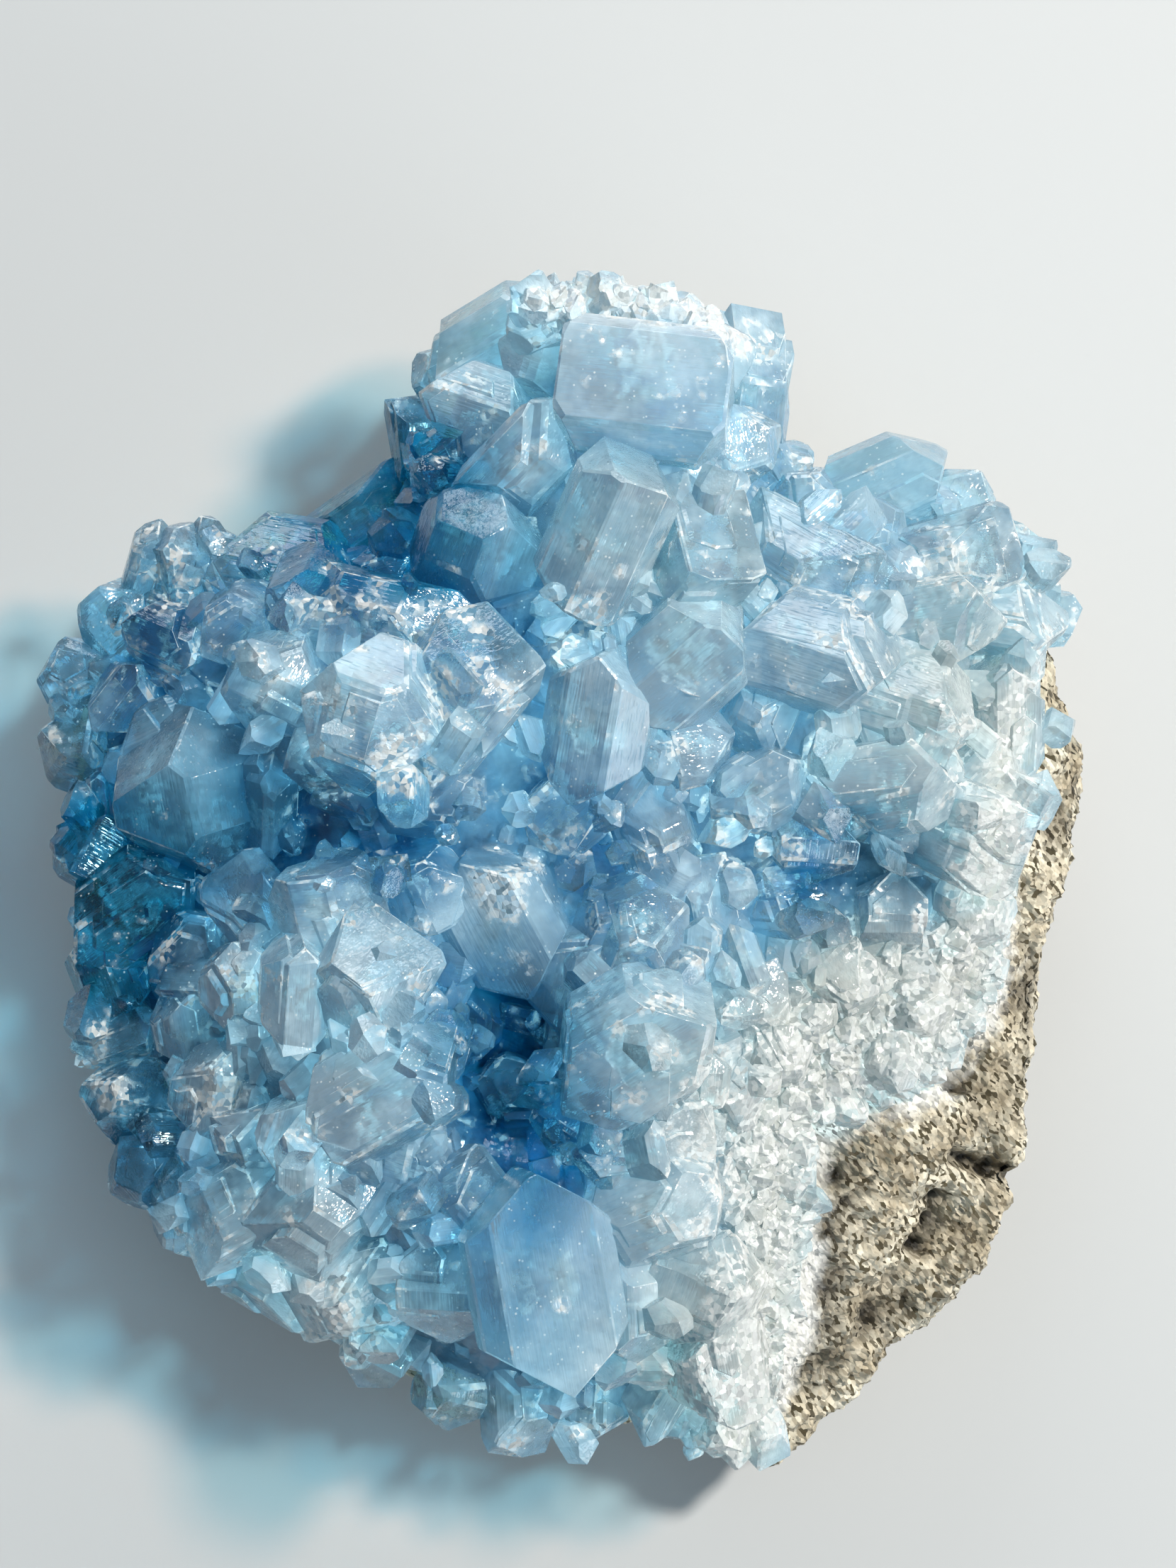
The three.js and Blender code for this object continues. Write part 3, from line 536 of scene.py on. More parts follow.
def crystalPlanes(length, width, thickness, shown, share):
    # A crystal as the space behind planes: each face's direction and its distance from the middle.
    # The bevelling forms cut a share of an edge: 0 only touches it, 1 takes the whole narrower face.
    half = np.array([length, width, thickness]) / 2
    distances = {
        "side": lambda n: half[1],
        "end": lambda n: half[0],
        "base": lambda n: half[2],
        "wedge": lambda n: n[0] * half[0] + n[1] * half[1] * (1 - share[0]),
        "dome": lambda n: n[1] * half[1] + n[2] * half[2] * (1 - share[1]),
        "slope": lambda n: n[0] * half[0] + n[2] * half[2] * (1 - share[2]),
    }
    normals = np.concatenate([forms[form] for form in shown])
    reaches = [np.full(len(forms[form]), distances[form](forms[form][0])) for form in shown]
    return normals, np.concatenate(reaches)


tripleCache = {}


def cornersOf(normals, reaches):
    # Corners of the space behind planes: where every three planes cross, kept where no other plane
    # cuts the point off.
    count = len(reaches)
    if count not in tripleCache:
        tripleCache[count] = np.array(list(itertools.combinations(range(count), 3)))
    triples = tripleCache[count]
    matrices = normals[triples]
    crossing = np.abs(np.linalg.det(matrices)) > 1e-3  # the others are all but parallel
    points = np.linalg.solve(matrices[crossing], reaches[triples[crossing]][..., None])[..., 0]
    inside = (points @ normals.T <= reaches + 1e-4).all(1)
    return np.unique(points[inside].round(3), axis=0)


def chamfered(normals, reaches, widths):
    # The same planes with one more across each edge: it looks half way between the edge's two
    # faces, and lies under the edge by half its width times the tangent of half their angle.
    corners = cornersOf(normals, reaches)
    on = (np.abs(corners @ normals.T - reaches) < 5e-3).astype(float)
    shared = on.T @ on
    one, two = np.nonzero(np.triu(shared >= 2, 1))
    between = unit(normals[one] + normals[two])
    edgePoints = ((on[:, one] * on[:, two]).T @ corners) / shared[one, two][:, None]
    cosine = (normals[one] * normals[two]).sum(1)
    tangent = np.sqrt((1 - cosine) / (1 + cosine))
    depth = mix(*widths, chance.random(len(one)) ** crystalSettings["chamferPower"]) / 2 * tangent
    edgeReach = (between * edgePoints).sum(1) - depth
    return np.concatenate([normals, between]), np.concatenate([reaches, edgeReach])


def unequal(reaches, share=1):
    # Faces of one form never grow quite alike: each reach is changed by a chance share of itself.
    return reaches * (1 + share * crystalSettings["unequal"] * chance.uniform(-1, 1, len(reaches)))


def brokenOff(normals, reaches, share=1):
    # The same planes with some more, each across a corner that has broken off.
    corners = cornersOf(normals, reaches)
    count = chance.integers(*crystalSettings["broken"])
    middles = corners[chance.integers(len(corners), size=count)]
    direction = unit(unit(middles) + chance.normal(scale=crystalSettings["brokenTilt"], size=(count, 3)))
    depth = share * mix(*crystalSettings["brokenDepth"], chance.random(count))
    reach = (corners @ direction.T).max(0) * (1 - depth)
    return np.concatenate([normals, direction]), np.concatenate([reaches, reach])


def hullOf(corners):
    # The closed shape around a crystal's corners.
    loose = bpy.data.meshes.new("corners")
    loose.from_pydata(corners.tolist(), [], [])
    shape = bmesh.new()
    shape.from_mesh(loose)
    bpy.data.meshes.remove(loose)
    hull = bmesh.ops.convex_hull(shape, input=shape.verts)
    spare = [part for part in hull["geom_interior"] if isinstance(part, bmesh.types.BMVert)]
    bmesh.ops.delete(shape, geom=spare, context="VERTS")
    bmesh.ops.recalc_face_normals(shape, faces=shape.faces)
    result = bpy.data.meshes.new("hull")
    shape.to_mesh(result)
    shape.free()
    points, faces = meshArrays(result)
    bpy.data.meshes.remove(result)
    return points, faces


def turned(turn, pitch, roll):
    # A rotation: roll about the length, then lift its +x end by the pitch, then turn in plan.
    t, p, r = np.radians([turn, -pitch, roll])
    aboutZ = np.array([[np.cos(t), -np.sin(t), 0], [np.sin(t), np.cos(t), 0], [0, 0, 1]])
    aboutY = np.array([[np.cos(p), 0, np.sin(p)], [0, 1, 0], [-np.sin(p), 0, np.cos(p)]])
    aboutX = np.array([[1, 0, 0], [0, np.cos(r), -np.sin(r)], [0, np.sin(r), np.cos(r)]])
    return aboutZ @ aboutY @ aboutX


chance = np.random.default_rng(crystalSettings["seed"])
crystals = bpy.data.collections.new("crystals")


def wornFaces(points, faces, normals, count):
    # Which faces of a hull lie on the chamfers: those that look the way of a plane after the first ones.
    a, b, c = (points[faces[:, i]] for i in range(3))
    direction = unit(np.cross(b - a, c - a))
    return (direction @ normals.T).argmax(1) >= count


def addCrystal(points, faces, rotation, middle, shade, worn=0.0):
    # One crystal to be joined with the rest. It carries its shade, which of its faces are worn
    # edges, and its own upright place on each corner, so that growth lines can follow it.
    mesh = meshFrom(points @ rotation.T + middle, faces)
    addAttribute(mesh, "shade", "FACE", np.full(len(faces), shade))
    addAttribute(mesh, "worn", "FACE", np.full(len(faces), worn))
    addAttribute(mesh, "own", "CORNER", points[faces.ravel()] + crystalSettings["patternShift"] * shade)
    crystals.objects.link(bpy.data.objects.new("crystal", mesh))


def addLarge(row):
    # A large crystal with worn edges and healed cracks, and the parallel growths on it. Its form is
    # drawn by its place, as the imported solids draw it.
    x, y, rise, length, width, thickness, turn, pitch, roll = row
    random = randomFrom(round(x * 10) * 7919 + round(y * 10))
    shown = habits[int(random() * len(habits))]
    volume = length * width * thickness
    if volume > crystalSettings["richVolume"]:
        shown = richHabits[int(random() < crystalSettings["richShare"])]
    share = [mix(*limits, random()) for limits in crystalSettings["cutShares"]]
    shown, share = keyForms.get((x, y), (shown, share))
    kept = crystalSettings["keyFormRoughness"] if (x, y) in keyForms else 1
    normals, reaches = crystalPlanes(length, width, thickness, shown, share)
    rotation = turned(turn, pitch, roll)
    middle = np.array([x, y, float(bedHeight(np.array(x), np.array(y))) + bed["crust"] + rise])
    shade = chance.random()
    whole = brokenOff(normals, unequal(reaches, kept), kept)
    planes = chamfered(*whole, crystalSettings["chamfer"])
    points, faces = hullOf(cornersOf(*planes))
    addCrystal(points, faces, rotation, middle, shade, wornFaces(points, faces, planes[0], len(whole[0])))
    for _ in range(crystalSettings["veils"] + int(volume / crystalSettings["veilVolume"])):
        reach = crystalSettings["veilWithin"]
        place = chance.uniform(-reach, reach, 3) * (length, width, thickness) / 2
        addVeil(middle + rotation @ place, reaches.min() * chance.uniform(*crystalSettings["veilSize"]))
    layers = crystalSettings["layers"] + int(volume / crystalSettings["layerVolume"])
    for _ in range(round(layers * (1 - zoneAt(calmZones, x, y)))):
        addLayer(normals, reaches, rotation, middle, shade)


def addLayer(normals, reaches, rotation, middle, shade):
    # A parallel growth: a smaller crystal of the same form, moved out some chance way until it
    # stands a small step proud of the face that it meets there.
    size = mix(*crystalSettings["layerSize"], chance.random())
    step = mix(*crystalSettings["layerStep"], chance.random() ** 2)
    direction = chance.normal(size=3)
    direction[2] = abs(direction[2])
    along = normals @ (rotation.T @ direction)
    outward = along > 1e-3
    offset = np.min(((1 - size) * reaches[outward] + step) / along[outward])
    widths = np.array(crystalSettings["chamfer"]) * crystalSettings["layerChamfer"]
    planes = chamfered(normals, unequal(reaches * size), widths)
    tilt = turned(*chance.normal(scale=crystalSettings["layerTilt"], size=3))
    points, faces = hullOf(cornersOf(*planes))
    worn = wornFaces(points, faces, planes[0], len(normals))
    addCrystal(points, faces, tilt @ rotation, middle + direction * offset, shade, worn)


druse = {
    "spacing": 7.4,
    "jitter": 0.6,  # as a share of the spacing
    "size": (5.5, 7.5),
    "shape": (0.84, 0.88),  # width and thickness as shares of the length
    "pitch": (10, 55),
    "roll": (-30, 30),
    "rise": 0.4,
    "left": 11,
    "top": 2,
    "bottom": -24,
    "right": 48.3,
    "pit": (27, -0.5),
    "pitRadius": 4,
    "seed": 7,
}


def inDruse(x, y):
    # Whether a place belongs to the small crystals beside the bare rock, off the pit and the large ones.
    within = x > druse["left"] and druse["bottom"] < y < druse["top"]
    onBed = math.hypot(x, y) < reachOf(crustEdge, np.array(math.atan2(y, x))) - 1  # a millimetre inside
    offPit = math.hypot(x - druse["pit"][0], y - druse["pit"][1]) > druse["pitRadius"]
    clear = all(math.hypot(x - row[0], y - row[1]) > (row[3] + row[4]) / 4 for row in largeCrystals)
    return within and onBed and offPit and clear


def druseRows():
    # The druse's crystals, on a jittered honeycomb.
    random = randomFrom(druse["seed"])
    stepX, stepY = druse["spacing"], druse["spacing"] * math.sqrt(3) / 2
    jitter = lambda: (random() - 0.5) * druse["spacing"] * druse["jitter"]
    rows = []
    for row in range(math.ceil((druse["top"] - druse["bottom"]) / stepY)):
        for column in range(math.ceil((druse["right"] - druse["left"]) / stepX)):
            x = druse["left"] + (column + (row % 2) / 2) * stepX + jitter()
            y = druse["bottom"] + row * stepY + jitter()
            length = mix(*druse["size"], random())
            angles = (random() * 180, mix(*druse["pitch"], random()), mix(*druse["roll"], random()))
            if inDruse(x, y):
                sides = [share * length for share in druse["shape"]]
                rows.append((x, y, druse["rise"], length, *sides, *angles))
    return rows


def pointing(axis, spin):
    # A rotation whose x axis points along the given one, turned about it by the spin. It starts from
    # any direction that isn't nearly the axis itself.
    side = np.cross(axis, (0.3, 0.5, 0.81) if abs(axis[2]) < 0.9 else (1, 0, 0))
    side /= np.linalg.norm(side)
    up = np.cross(axis, side)
    turnedSide = math.cos(spin) * side + math.sin(spin) * up
    return np.stack([axis, turnedSide, np.cross(axis, turnedSide)], -1)


veilPoints, veilFaces = [], []
fullTurn = 6.28  # radians

veilSettings = {
    "rings": 7,
    "spokes": 14,
    "pole": 0.12,  # radians between the outermost rings and the poles
    "waves": [(2, 0.28), (5, 0.18)],  # how many there are round the outline, and how deep
    "narrowed": 0.45,
    "bend": 0.35,
    "twist": 0.3,
    "thickness": 0.02,
}


def addVeil(middle, size):
    # A healed crack inside a crystal: a thin closed blister round a bent sheet of uneven outline.
    # Its rings run from one pole over the rim to the other: radius sin(t), height cos(t) times a
    # small thickness, plus a bend that grows with the square of the distance from its middle.
    pole = veilSettings["pole"]
    t = np.linspace(pole, np.pi - pole, veilSettings["rings"])[:, None]
    angle = spokes(veilSettings["spokes"])[None, :]
    outline = 1
    for count, depth in veilSettings["waves"]:
        outline = outline + depth * np.sin(count * angle + chance.uniform(0, fullTurn))
    radius = np.sin(t) * outline
    stretch = chance.uniform(veilSettings["narrowed"], 1)
    u, v = radius * np.cos(angle), radius * np.sin(angle) * stretch
    bend, twist = veilSettings["bend"], veilSettings["twist"]
    w = chance.uniform(-bend, bend) * (u ** 2 - v ** 2) + chance.uniform(-twist, twist) * u * v
    w = w + veilSettings["thickness"] * np.cos(t)
    axis = unit(chance.normal(size=3))
    rotation = pointing(axis, chance.uniform(0, fullTurn))
    points, faces = closedRings(np.stack([w, u, v], -1))
    veilFaces.append(faces + sum(map(len, veilPoints)))
    veilPoints.append(points * size @ rotation.T + middle)


for row in [*largeCrystals, *druseRows()]:
    addLarge(row)


def smallShapes():
    # A stock of small crystal shapes, one unit long.
    shapes = []
    length = crystalSettings["templateLength"]
    for _ in range(crystalSettings["templates"]):
        shown = habits[chance.integers(len(habits))]
        width = length * mix(*crystalSettings["templateWidth"], chance.random())
        thickness = length * mix(*crystalSettings["templateThickness"], chance.random())
        share = chance.uniform(*crystalSettings["templateCut"], 3)
        normals, reaches = crystalPlanes(length, width, thickness, shown, share)
        points, faces = hullOf(cornersOf(*brokenOff(normals, unequal(reaches))))
        shapes.append((points / length, faces))
    return shapes


def crustPlaces(count):
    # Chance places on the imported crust, by area, with the way the surface looks there and the share
    # of the sky over it that its neighbours hide.
    points, triangles = meshArrays(frame["nodes"]["crystal_crust"].data)
    points = points / millimetre
    a, b, c = (points[triangles[:, i]] for i in range(3))
    cross = np.cross(b - a, c - a)
    area = np.linalg.norm(cross, axis=1)
    normal = unit(cross)
    weight = area * (normal[:, 2] > crystalSettings["underside"])
    chosen = chance.choice(len(area), count, p=weight / weight.sum())
    u, v = np.sqrt(chance.random(count)), chance.random(count)
    place = (1 - u)[:, None] * a[chosen] + (u * (1 - v))[:, None] * b[chosen] + (u * v)[:, None] * c[chosen]
    tree = BVHTree.FromPolygons(points.tolist(), triangles.tolist())
    rays = unit(chance.normal(size=(crystalSettings["creviceRays"], 3)))
    hidden = np.zeros(count)
    for i in range(count):
        start = Vector(place[i] + normal[chosen[i]] * 0.05)  # just clear of the surface
        for ray in rays + normal[chosen[i]]:
            hit = tree.ray_cast(start, Vector(ray).normalized(), crystalSettings["creviceReach"])
            hidden[i] += hit[0] is not None
    return place, normal[chosen], hidden / len(rays)


stock = smallShapes()


def chanceSize(kind):
    # A size between two limits: the higher the power, the more of them are small.
    low, high, power = smallKinds[kind]["size"]
    return mix(low, high, chance.random() ** power)


def addSmall(kind, place, normal, size):
    # A small crystal that grows out of a place, leaning by chance from the surface's own direction.
    upward = (0, 0, crystalSettings["smallUpward"])
    axis = normal + smallKinds[kind]["spread"] * chance.normal(size=3) + upward
    axis /= np.linalg.norm(axis)
    points, faces = stock[chance.integers(len(stock))]
    middle = place + axis * size * mix(*crystalSettings["smallRaised"], chance.random())
    addCrystal(points * size, faces, pointing(axis, chance.uniform(0, fullTurn)), middle, chance.random())


def keptClear(place):
    # Small crystals grow neither on a calm face nor where the outline stays open.
    x, y, z = place
    strong = crystalSettings["clearFrom"]
    calm = zoneAt(calmZones, x, y) > strong and z > crustTop(x, y) + crystalSettings["calmRise"]
    return calm or zoneAt(openPlaces, x, y) > strong


def addCreviceCrystals():
    # Small crystals at chance places, the likelier the more of the sky their neighbours hide.
    count = smallKinds["crevice"]["count"]
    places, normals, hidden = crustPlaces(count * 3)
    weight = hidden ** crystalSettings["crevicePower"]
    for i in chance.choice(len(places), count, replace=False, p=weight / weight.sum()):
        size = chanceSize("crevice")
        if not keptClear(places[i]):
            addSmall("crevice", places[i], normals[i], size)


def addSatellites():
    # Small crystals on the upper faces of the large ones, sunk deeper where they stand in the open.
    for place, normal, share in zip(*crustPlaces(smallKinds["satellite"]["count"])):
        size = chanceSize("satellite")
        sunk = normal * size * mix(*crystalSettings["satelliteSunk"], share)
        if normal[2] > crystalSettings["upperFace"] and not keptClear(place):
            addSmall("satellite", place - sunk, normal, size)


addCreviceCrystals()
addSatellites()

# The band of fine, pale crystals beside the bare rock: where it runs, and how wide it is.
sugarLine = [
    (41.5, 17, 1.5), (39.5, 8, 2.5), (38.5, -2, 3.5), (36.5, -9, 5.5), (32, -14, 6.5), (27, -16, 7),
    (21, -19, 6), (19, -26, 5), (19.5, -33, 4.5), (18.5, -40, 4.5), (17.5, -46, 4), (16.5, -51, 3),
]

# The ragged strip of fine crystals along the crest, and the heights that it lies between.
crestLine = [(-2.5, 50.2, 1.2), (1.5, 50.4, 1.5), (6, 50, 1.6), (10.5, 48.8, 1.6), (14.5, 46.6, 1.5)]
crestHeights = (31, 37.5)


def scattered(kind, places):
    # Chance places for a kind of fine crystals along a line, thickest in its middle: each strays
    # from a chance point of it by a normal share of the width there.
    line = np.array(places, float)
    at = chance.uniform(0, len(line) - 1, smallKinds[kind]["count"])
    start = at.astype(int)
    spot = line[start] + (line[start + 1] - line[start]) * (at - start)[:, None]
    stray = chance.normal(size=(len(at), 2)) * spot[:, 2:] * crystalSettings["lineSpread"]
    return (spot[:, :2] + stray).T


def addFine(kind, *places):
    # Fine crystals at places given as lists of x, y and height.
    for place in zip(*places):
        addSmall(kind, np.array(place), np.array(smallKinds[kind]["way"]), chanceSize(kind))


def addSugar():
    # Fine crystals on the shared bed beside the rock.
    x, y = scattered("sugar", sugarLine)
    inside = np.hypot(x, y) < reachOf(crustEdge, np.arctan2(y, x)) + crystalSettings["sugarPast"]
    x, y = x[inside], y[inside]
    addFine("sugar", x, y, crustTop(x, y) - crystalSettings["sugarSunk"])


def addCrestStrip():
    # Fine crystals on the backs of the large ones along the crest. Those that touch none are left
    # out with the loose shells later.
    x, y = scattered("crest", crestLine)
    addFine("crest", x, y, mix(*crestHeights, chance.random(len(x))))


addSugar()
addCrestStrip()


def largestShell(points, faces):
    # Which faces belong to the shell with the most faces: labels spread along the faces until
    # every connected point has the lowest one.
    label = np.arange(len(points))
    while True:
        lowest = label[faces].min(1)
        spread = label.copy()
        np.minimum.at(spread, faces.ravel(), np.repeat(lowest, 3))
        spread = spread[spread]
        if (spread == label).all():
            break
        label = spread
    names, counts = np.unique(label[faces[:, 0]], return_counts=True)
    return label[faces[:, 0]] == names[counts.argmax()]


sharedBed = {
    "spokes": 96,
    "upperRings": 24,
    "lowerRings": 10,
    "innerRing": 0.04,  # how far out the innermost ring lies, as a share of the outline's reach
    "rockUpperRings": 40,  # and the same for the space that the rock takes
    "rockLowerRings": 3,
    "rockInnerRing": 0.03,
    "rockBottom": -14.5,  # well under everything
}


def joinCrystals():
    # Joins all the crystals with the bed that they share, and takes the rock's space away.
    around = spokes(sharedBed["spokes"])
    under = lambda x, y: bedHeight(x, y) - bed["crust"]
    inner = sharedBed["innerRing"]
    upper = planGrid(crustEdge, around, np.linspace(inner, 1, sharedBed["upperRings"]), crustTop)
    lower = planGrid(crustEdge, around, np.linspace(1 - inner, inner, sharedBed["lowerRings"]), under)
    shared = newPiece("shared_bed", meshFrom(*closedRings(np.concatenate([upper, lower]))))
    shared.data.attributes.new("shade", "FLOAT", "FACE")
    shared.data.attributes.new("worn", "FLOAT", "FACE")
    shared.data.attributes.new("own", "FLOAT_VECTOR", "CORNER")
    gap = crystalSettings["rockGap"]
    above = lambda x, y: rockTop(x, y) + gap
    bottom = lambda x, y: np.full(x.shape, sharedBed["rockBottom"])
    inner = sharedBed["rockInnerRing"]
    upper = planGrid(rockRim, around, np.linspace(inner, 1, sharedBed["rockUpperRings"]), above, gap)
    lower = planGrid(rockRim, around, np.linspace(1, inner, sharedBed["rockLowerRings"]), bottom, gap)
    rockSpace = newPiece("rock_space", meshFrom(*closedRings(np.concatenate([upper, lower]))))
    union = shared.modifiers.new("crystals", "BOOLEAN")
    union.solver, union.operation, union.operand_type = "MANIFOLD", "UNION", "COLLECTION"
    union.collection = crystals
    cut = shared.modifiers.new("rock", "BOOLEAN")
    cut.solver, cut.operation, cut.object = "MANIFOLD", "DIFFERENCE", rockSpace
    graph = bpy.context.evaluated_depsgraph_get()
    mesh = bpy.data.meshes.new_from_object(shared.evaluated_get(graph))
    for piece in [shared, rockSpace, *crystals.objects]:
        old = piece.data
        bpy.data.objects.remove(piece)
        bpy.data.meshes.remove(old)
    bpy.data.collections.remove(crystals)
    return mesh


def finishedCrust(mesh):
    # The largest shell alone, in metres.
    shape = bmesh.new()
    shape.from_mesh(mesh)
    bmesh.ops.triangulate(shape, faces=shape.faces)
    shape.to_mesh(mesh)
    keep = largestShell(*meshArrays(mesh))
    shape.faces.ensure_lookup_table()
    spare = [shape.faces[i] for i in np.nonzero(~keep)[0]]
    bmesh.ops.delete(shape, geom=spare, context="FACES")
    bmesh.ops.scale(shape, vec=(millimetre,) * 3, verts=shape.verts)
    shape.to_mesh(mesh)
    shape.free()
    return mesh


crust = newPiece("celestite_crystals", finishedCrust(joinCrystals()), "celestite")
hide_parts("crystal_crust")
print("crust:", len(crust.data.polygons), "triangles")


# Where the crystals are deep blue and clear, partly their own colour zoning and partly painted shade
# where shade falls in the valleys, on the left flank and in the cavities: x, y, radius, strength.
deepAndShadedZones = [
    (-17, 33, 10, 1.6), (-12, 31, 6, 0.6), (-42, -4, 10, 1.4), (-33, 8, 7, 0.1), (7.8, 41.8, 7, 0.45),
    (-28, 4, 8, 0.62), (-7, 29, 6, 0.3), (-5, -14, 8, 0.75), (-1, -24, 6, 0.8), (27, -0.5, 6, 2.2),
    (4, -3, 6, 0.4), (-14, 3, 7, 0.6), (-40, -24, 8, 0.7), (-40, 18, 11, 0.45), (-42, 2, 7, 0.9),
    (3, 7, 6, 0.4), (-3, -37, 8, 0.35), (-13, -30, 6, 0.4), (-7, 21, 6, 0.4), (-33, 26, 9, 0.28),
]

# Where they are milky and almost colourless, partly their own white and partly painted light on lobes that
# the light falls on: x, y, radius, strength.
paleAndLitZones = [
    (28, -12, 9.5, 1.0), (16, -18, 8, 0.6), (34, 9, 12, 0.55), (38, 22, 10, 0.4), (15, -42, 9, 0.8),
    (12, -28, 8, 0.3), (-19, -14, 10, 0.15), (-20, -37, 9, 0.35), (13, 27, 9, 0.3), (4.5, 29.5, 6, 0.3),
]

# Where they are blue but cloudy through and through: x, y, radius, strength.
cloudyZones = [
    (-33, 8, 7.5, 1), (-5, -5, 6, 0.8), (-19, -12, 9, 0.75), (4.5, 29.5, 6, 0.3), (-20, -37, 9, 0.6),
    (-7, 29, 6, 0.5), (-5, 47, 6, 0.3),
]

# Where they are crushed white and sparkle, the sparkle partly painted glints of white specks: x, y, radius,
# strength.
crushedAndGlintZones = [
    (-5, -1.5, 3.4, 1.0), (-31, -19.5, 2.6, 1.0), (-19.5, 24.5, 2.6, 0.8), (-11, 22, 3, 0.7),
    (-9, 16, 2.5, 0.6), (27, 22, 3, 0.5), (36, 27, 4, 0.5), (-2.5, 36, 2.6, 0.7), (1.5, 20, 2.5, 0.7),
    (-27.5, -9.5, 2, 0.7), (-13, 9.5, 3, 0.9), (9.5, -14, 3.5, 0.5), (-20, -41, 4, 0.6),
    (13, -44, 5, 0.6), (16.5, 2.5, 3, 0.6), (-36, 26, 3, 0.6), (-42, -17, 4, 0.6), (4, 12, 2.4, 0.5),
    (37, 12, 4, 0.4),
]

zoneColours = {
    "usual": "#C8E2F0",
    # deep blue, laid on partly as painted shade
    "deep": "#1FA2D0",
    # almost colourless, laid on partly as painted light
    "pale": "#D0D2CD",
    "strip": "#E8F1F7",
}

zoneSettings = {
    "unevenSize": 5,  # lumps that make the zones' edges uneven
    "unevenDeep": 0.125,  # by how much, in the deep zones and in the pale ones
    "unevenPale": 0.075,
    "rootFade": 2.5,  # over this height above the shared bed
    # how much deeper blue it gives near the shared bed, in the gaps between crystals: painted shade
    "rootPaintedShade": 0.32,
    "paleOverDeep": 0.6,  # how much of the deep blue a pale zone takes away
    "sugarCrushedAndGlints": 0.85,
    "sugarWider": 1.1,  # how much wider the band beside the rock is coloured than its crystals lie
    "calmWhole": 0.5,  # how much of the crushing, and of its painted glints, a calm zone takes away
    "milkAnywhere": 0.3,
}

# How much milkier each kind of place is than the rest. The deep zones, partly painted shade, are made
# clearer, so that they look darker still.
milkShares = {"cloudy": 0.4, "calm": 0.12, "pale": 0.12, "sugary": 0.35, "deep": -0.45, "strip": 0.4}

# The white strip on the crest: an arc in plan, its top at this place, falling away to both sides with
# the square of the distance times the curve.
crestArc = {"top": (4, 50.8), "curve": 0.018, "width": 2.3, "middle": 7, "halfLength": 10}


def sugarAt(x, y):
    # How near a place is to the line of fine crystals, from 1 on it to 0: a bell curve of the
    # distance from the nearest point of each of its parts, over the width there.
    line = np.array(sugarLine, float)
    start, run = line[:-1], np.diff(line, axis=0)
    fromX, fromY = x[:, None] - start[:, 0], y[:, None] - start[:, 1]
    along = np.clip((fromX * run[:, 0] + fromY * run[:, 1]) / (run[:, :2] ** 2).sum(1), 0, 1)
    far = np.hypot(fromX - along * run[:, 0], fromY - along * run[:, 1])
    wide = (start[:, 2] + along * run[:, 2]) * zoneSettings["sugarWider"]
    return np.exp(-(far / wide) ** 2).max(1)


def crestStripAt(x, y):
    # How near a place is to the middle of the crest's white strip: a bell curve across it.
    topX, topY = crestArc["top"]
    across = y - topY + crestArc["curve"] * (x - topX) ** 2
    within = np.abs(x - crestArc["middle"]) < crestArc["halfLength"]
    return np.exp(-(across / crestArc["width"]) ** 2) * within


def colourZones(mesh):
    # Gives each point its tint, how milky it is, how crushed and glinting and how calm. It is blue and
    # clear in the deep zones and at the roots, partly its own colour and partly painted shade in the
    # valleys, flank, cavities and gaps; colourless in the pale zones and beside the rock, partly its own
    # white and partly painted light on lit lobes; milky there and in the cloudy zones; and crushed, with
    # white specks as painted glints, beside the rock, on the crest's strip and in its own zones.
    x, y, z = (meshArrays(mesh)[0] / millimetre).T
    uneven = lumps(x, y, z, zoneSettings["unevenSize"])
    roots = np.exp(-np.maximum(z - crustTop(x, y), 0) / zoneSettings["rootFade"])
    sugary, strip = sugarAt(x, y), crestStripAt(x, y)
    calm, cloudy = zoneAt(calmZones, x, y), zoneAt(cloudyZones, x, y)
    deep = zoneAt(deepAndShadedZones, x, y) + zoneSettings["rootPaintedShade"] * roots + zoneSettings["unevenDeep"] * uneven
    pale = np.maximum(zoneAt(paleAndLitZones, x, y), sugary) + zoneSettings["unevenPale"] * uneven
    pale = np.clip(pale, 0, 1)
    deep = np.clip(deep, 0, 1) * (1 - zoneSettings["paleOverDeep"] * pale)
    crushedAndGlints = np.maximum(zoneSettings["sugarCrushedAndGlints"] * sugary, zoneAt(crushedAndGlintZones, x, y)) + strip
    crushedAndGlints = np.clip(crushedAndGlints, 0, 1) - zoneSettings["calmWhole"] * calm
    places = {"cloudy": cloudy, "calm": calm, "pale": pale, "sugary": sugary, "deep": deep, "strip": strip}
    milk = sum((share * places[name] for name, share in milkShares.items()), zoneSettings["milkAnywhere"])
    usual, blue, white, bright = (np.array(linearColour(colour)) for colour in zoneColours.values())
    tint = mix(mix(usual, blue, deep[:, None]), white, pale[:, None])
    addAttribute(mesh, "tint", "POINT", mix(tint, bright, strip[:, None]))
    addAttribute(mesh, "milk", "POINT", np.clip(milk, 0, 1))
    addAttribute(mesh, "crushedAndGlints", "POINT", crushedAndGlints)
    addAttribute(mesh, "calm", "POINT", calm)


colourZones(crust.data)


# Cloudy roots and healed cracks inside the crust

rootSettings = {
    "spokes": 200,
    "upperRings": 90,
    "lowerRings": 40,
    "edge": 0.975,  # how far out the sheet reaches above and underneath, as a share of the crust's edge
    "underEdge": 0.965,
    "innerRing": 0.02,
    "under": 0.35,  # clearance above the rock
    "below": 0.75,  # how far below the shared bed's upper face it lies
    "lumpSize": 2.2,
    "lumpHeight": 0.5,
    "thinnest": 0.15,
}


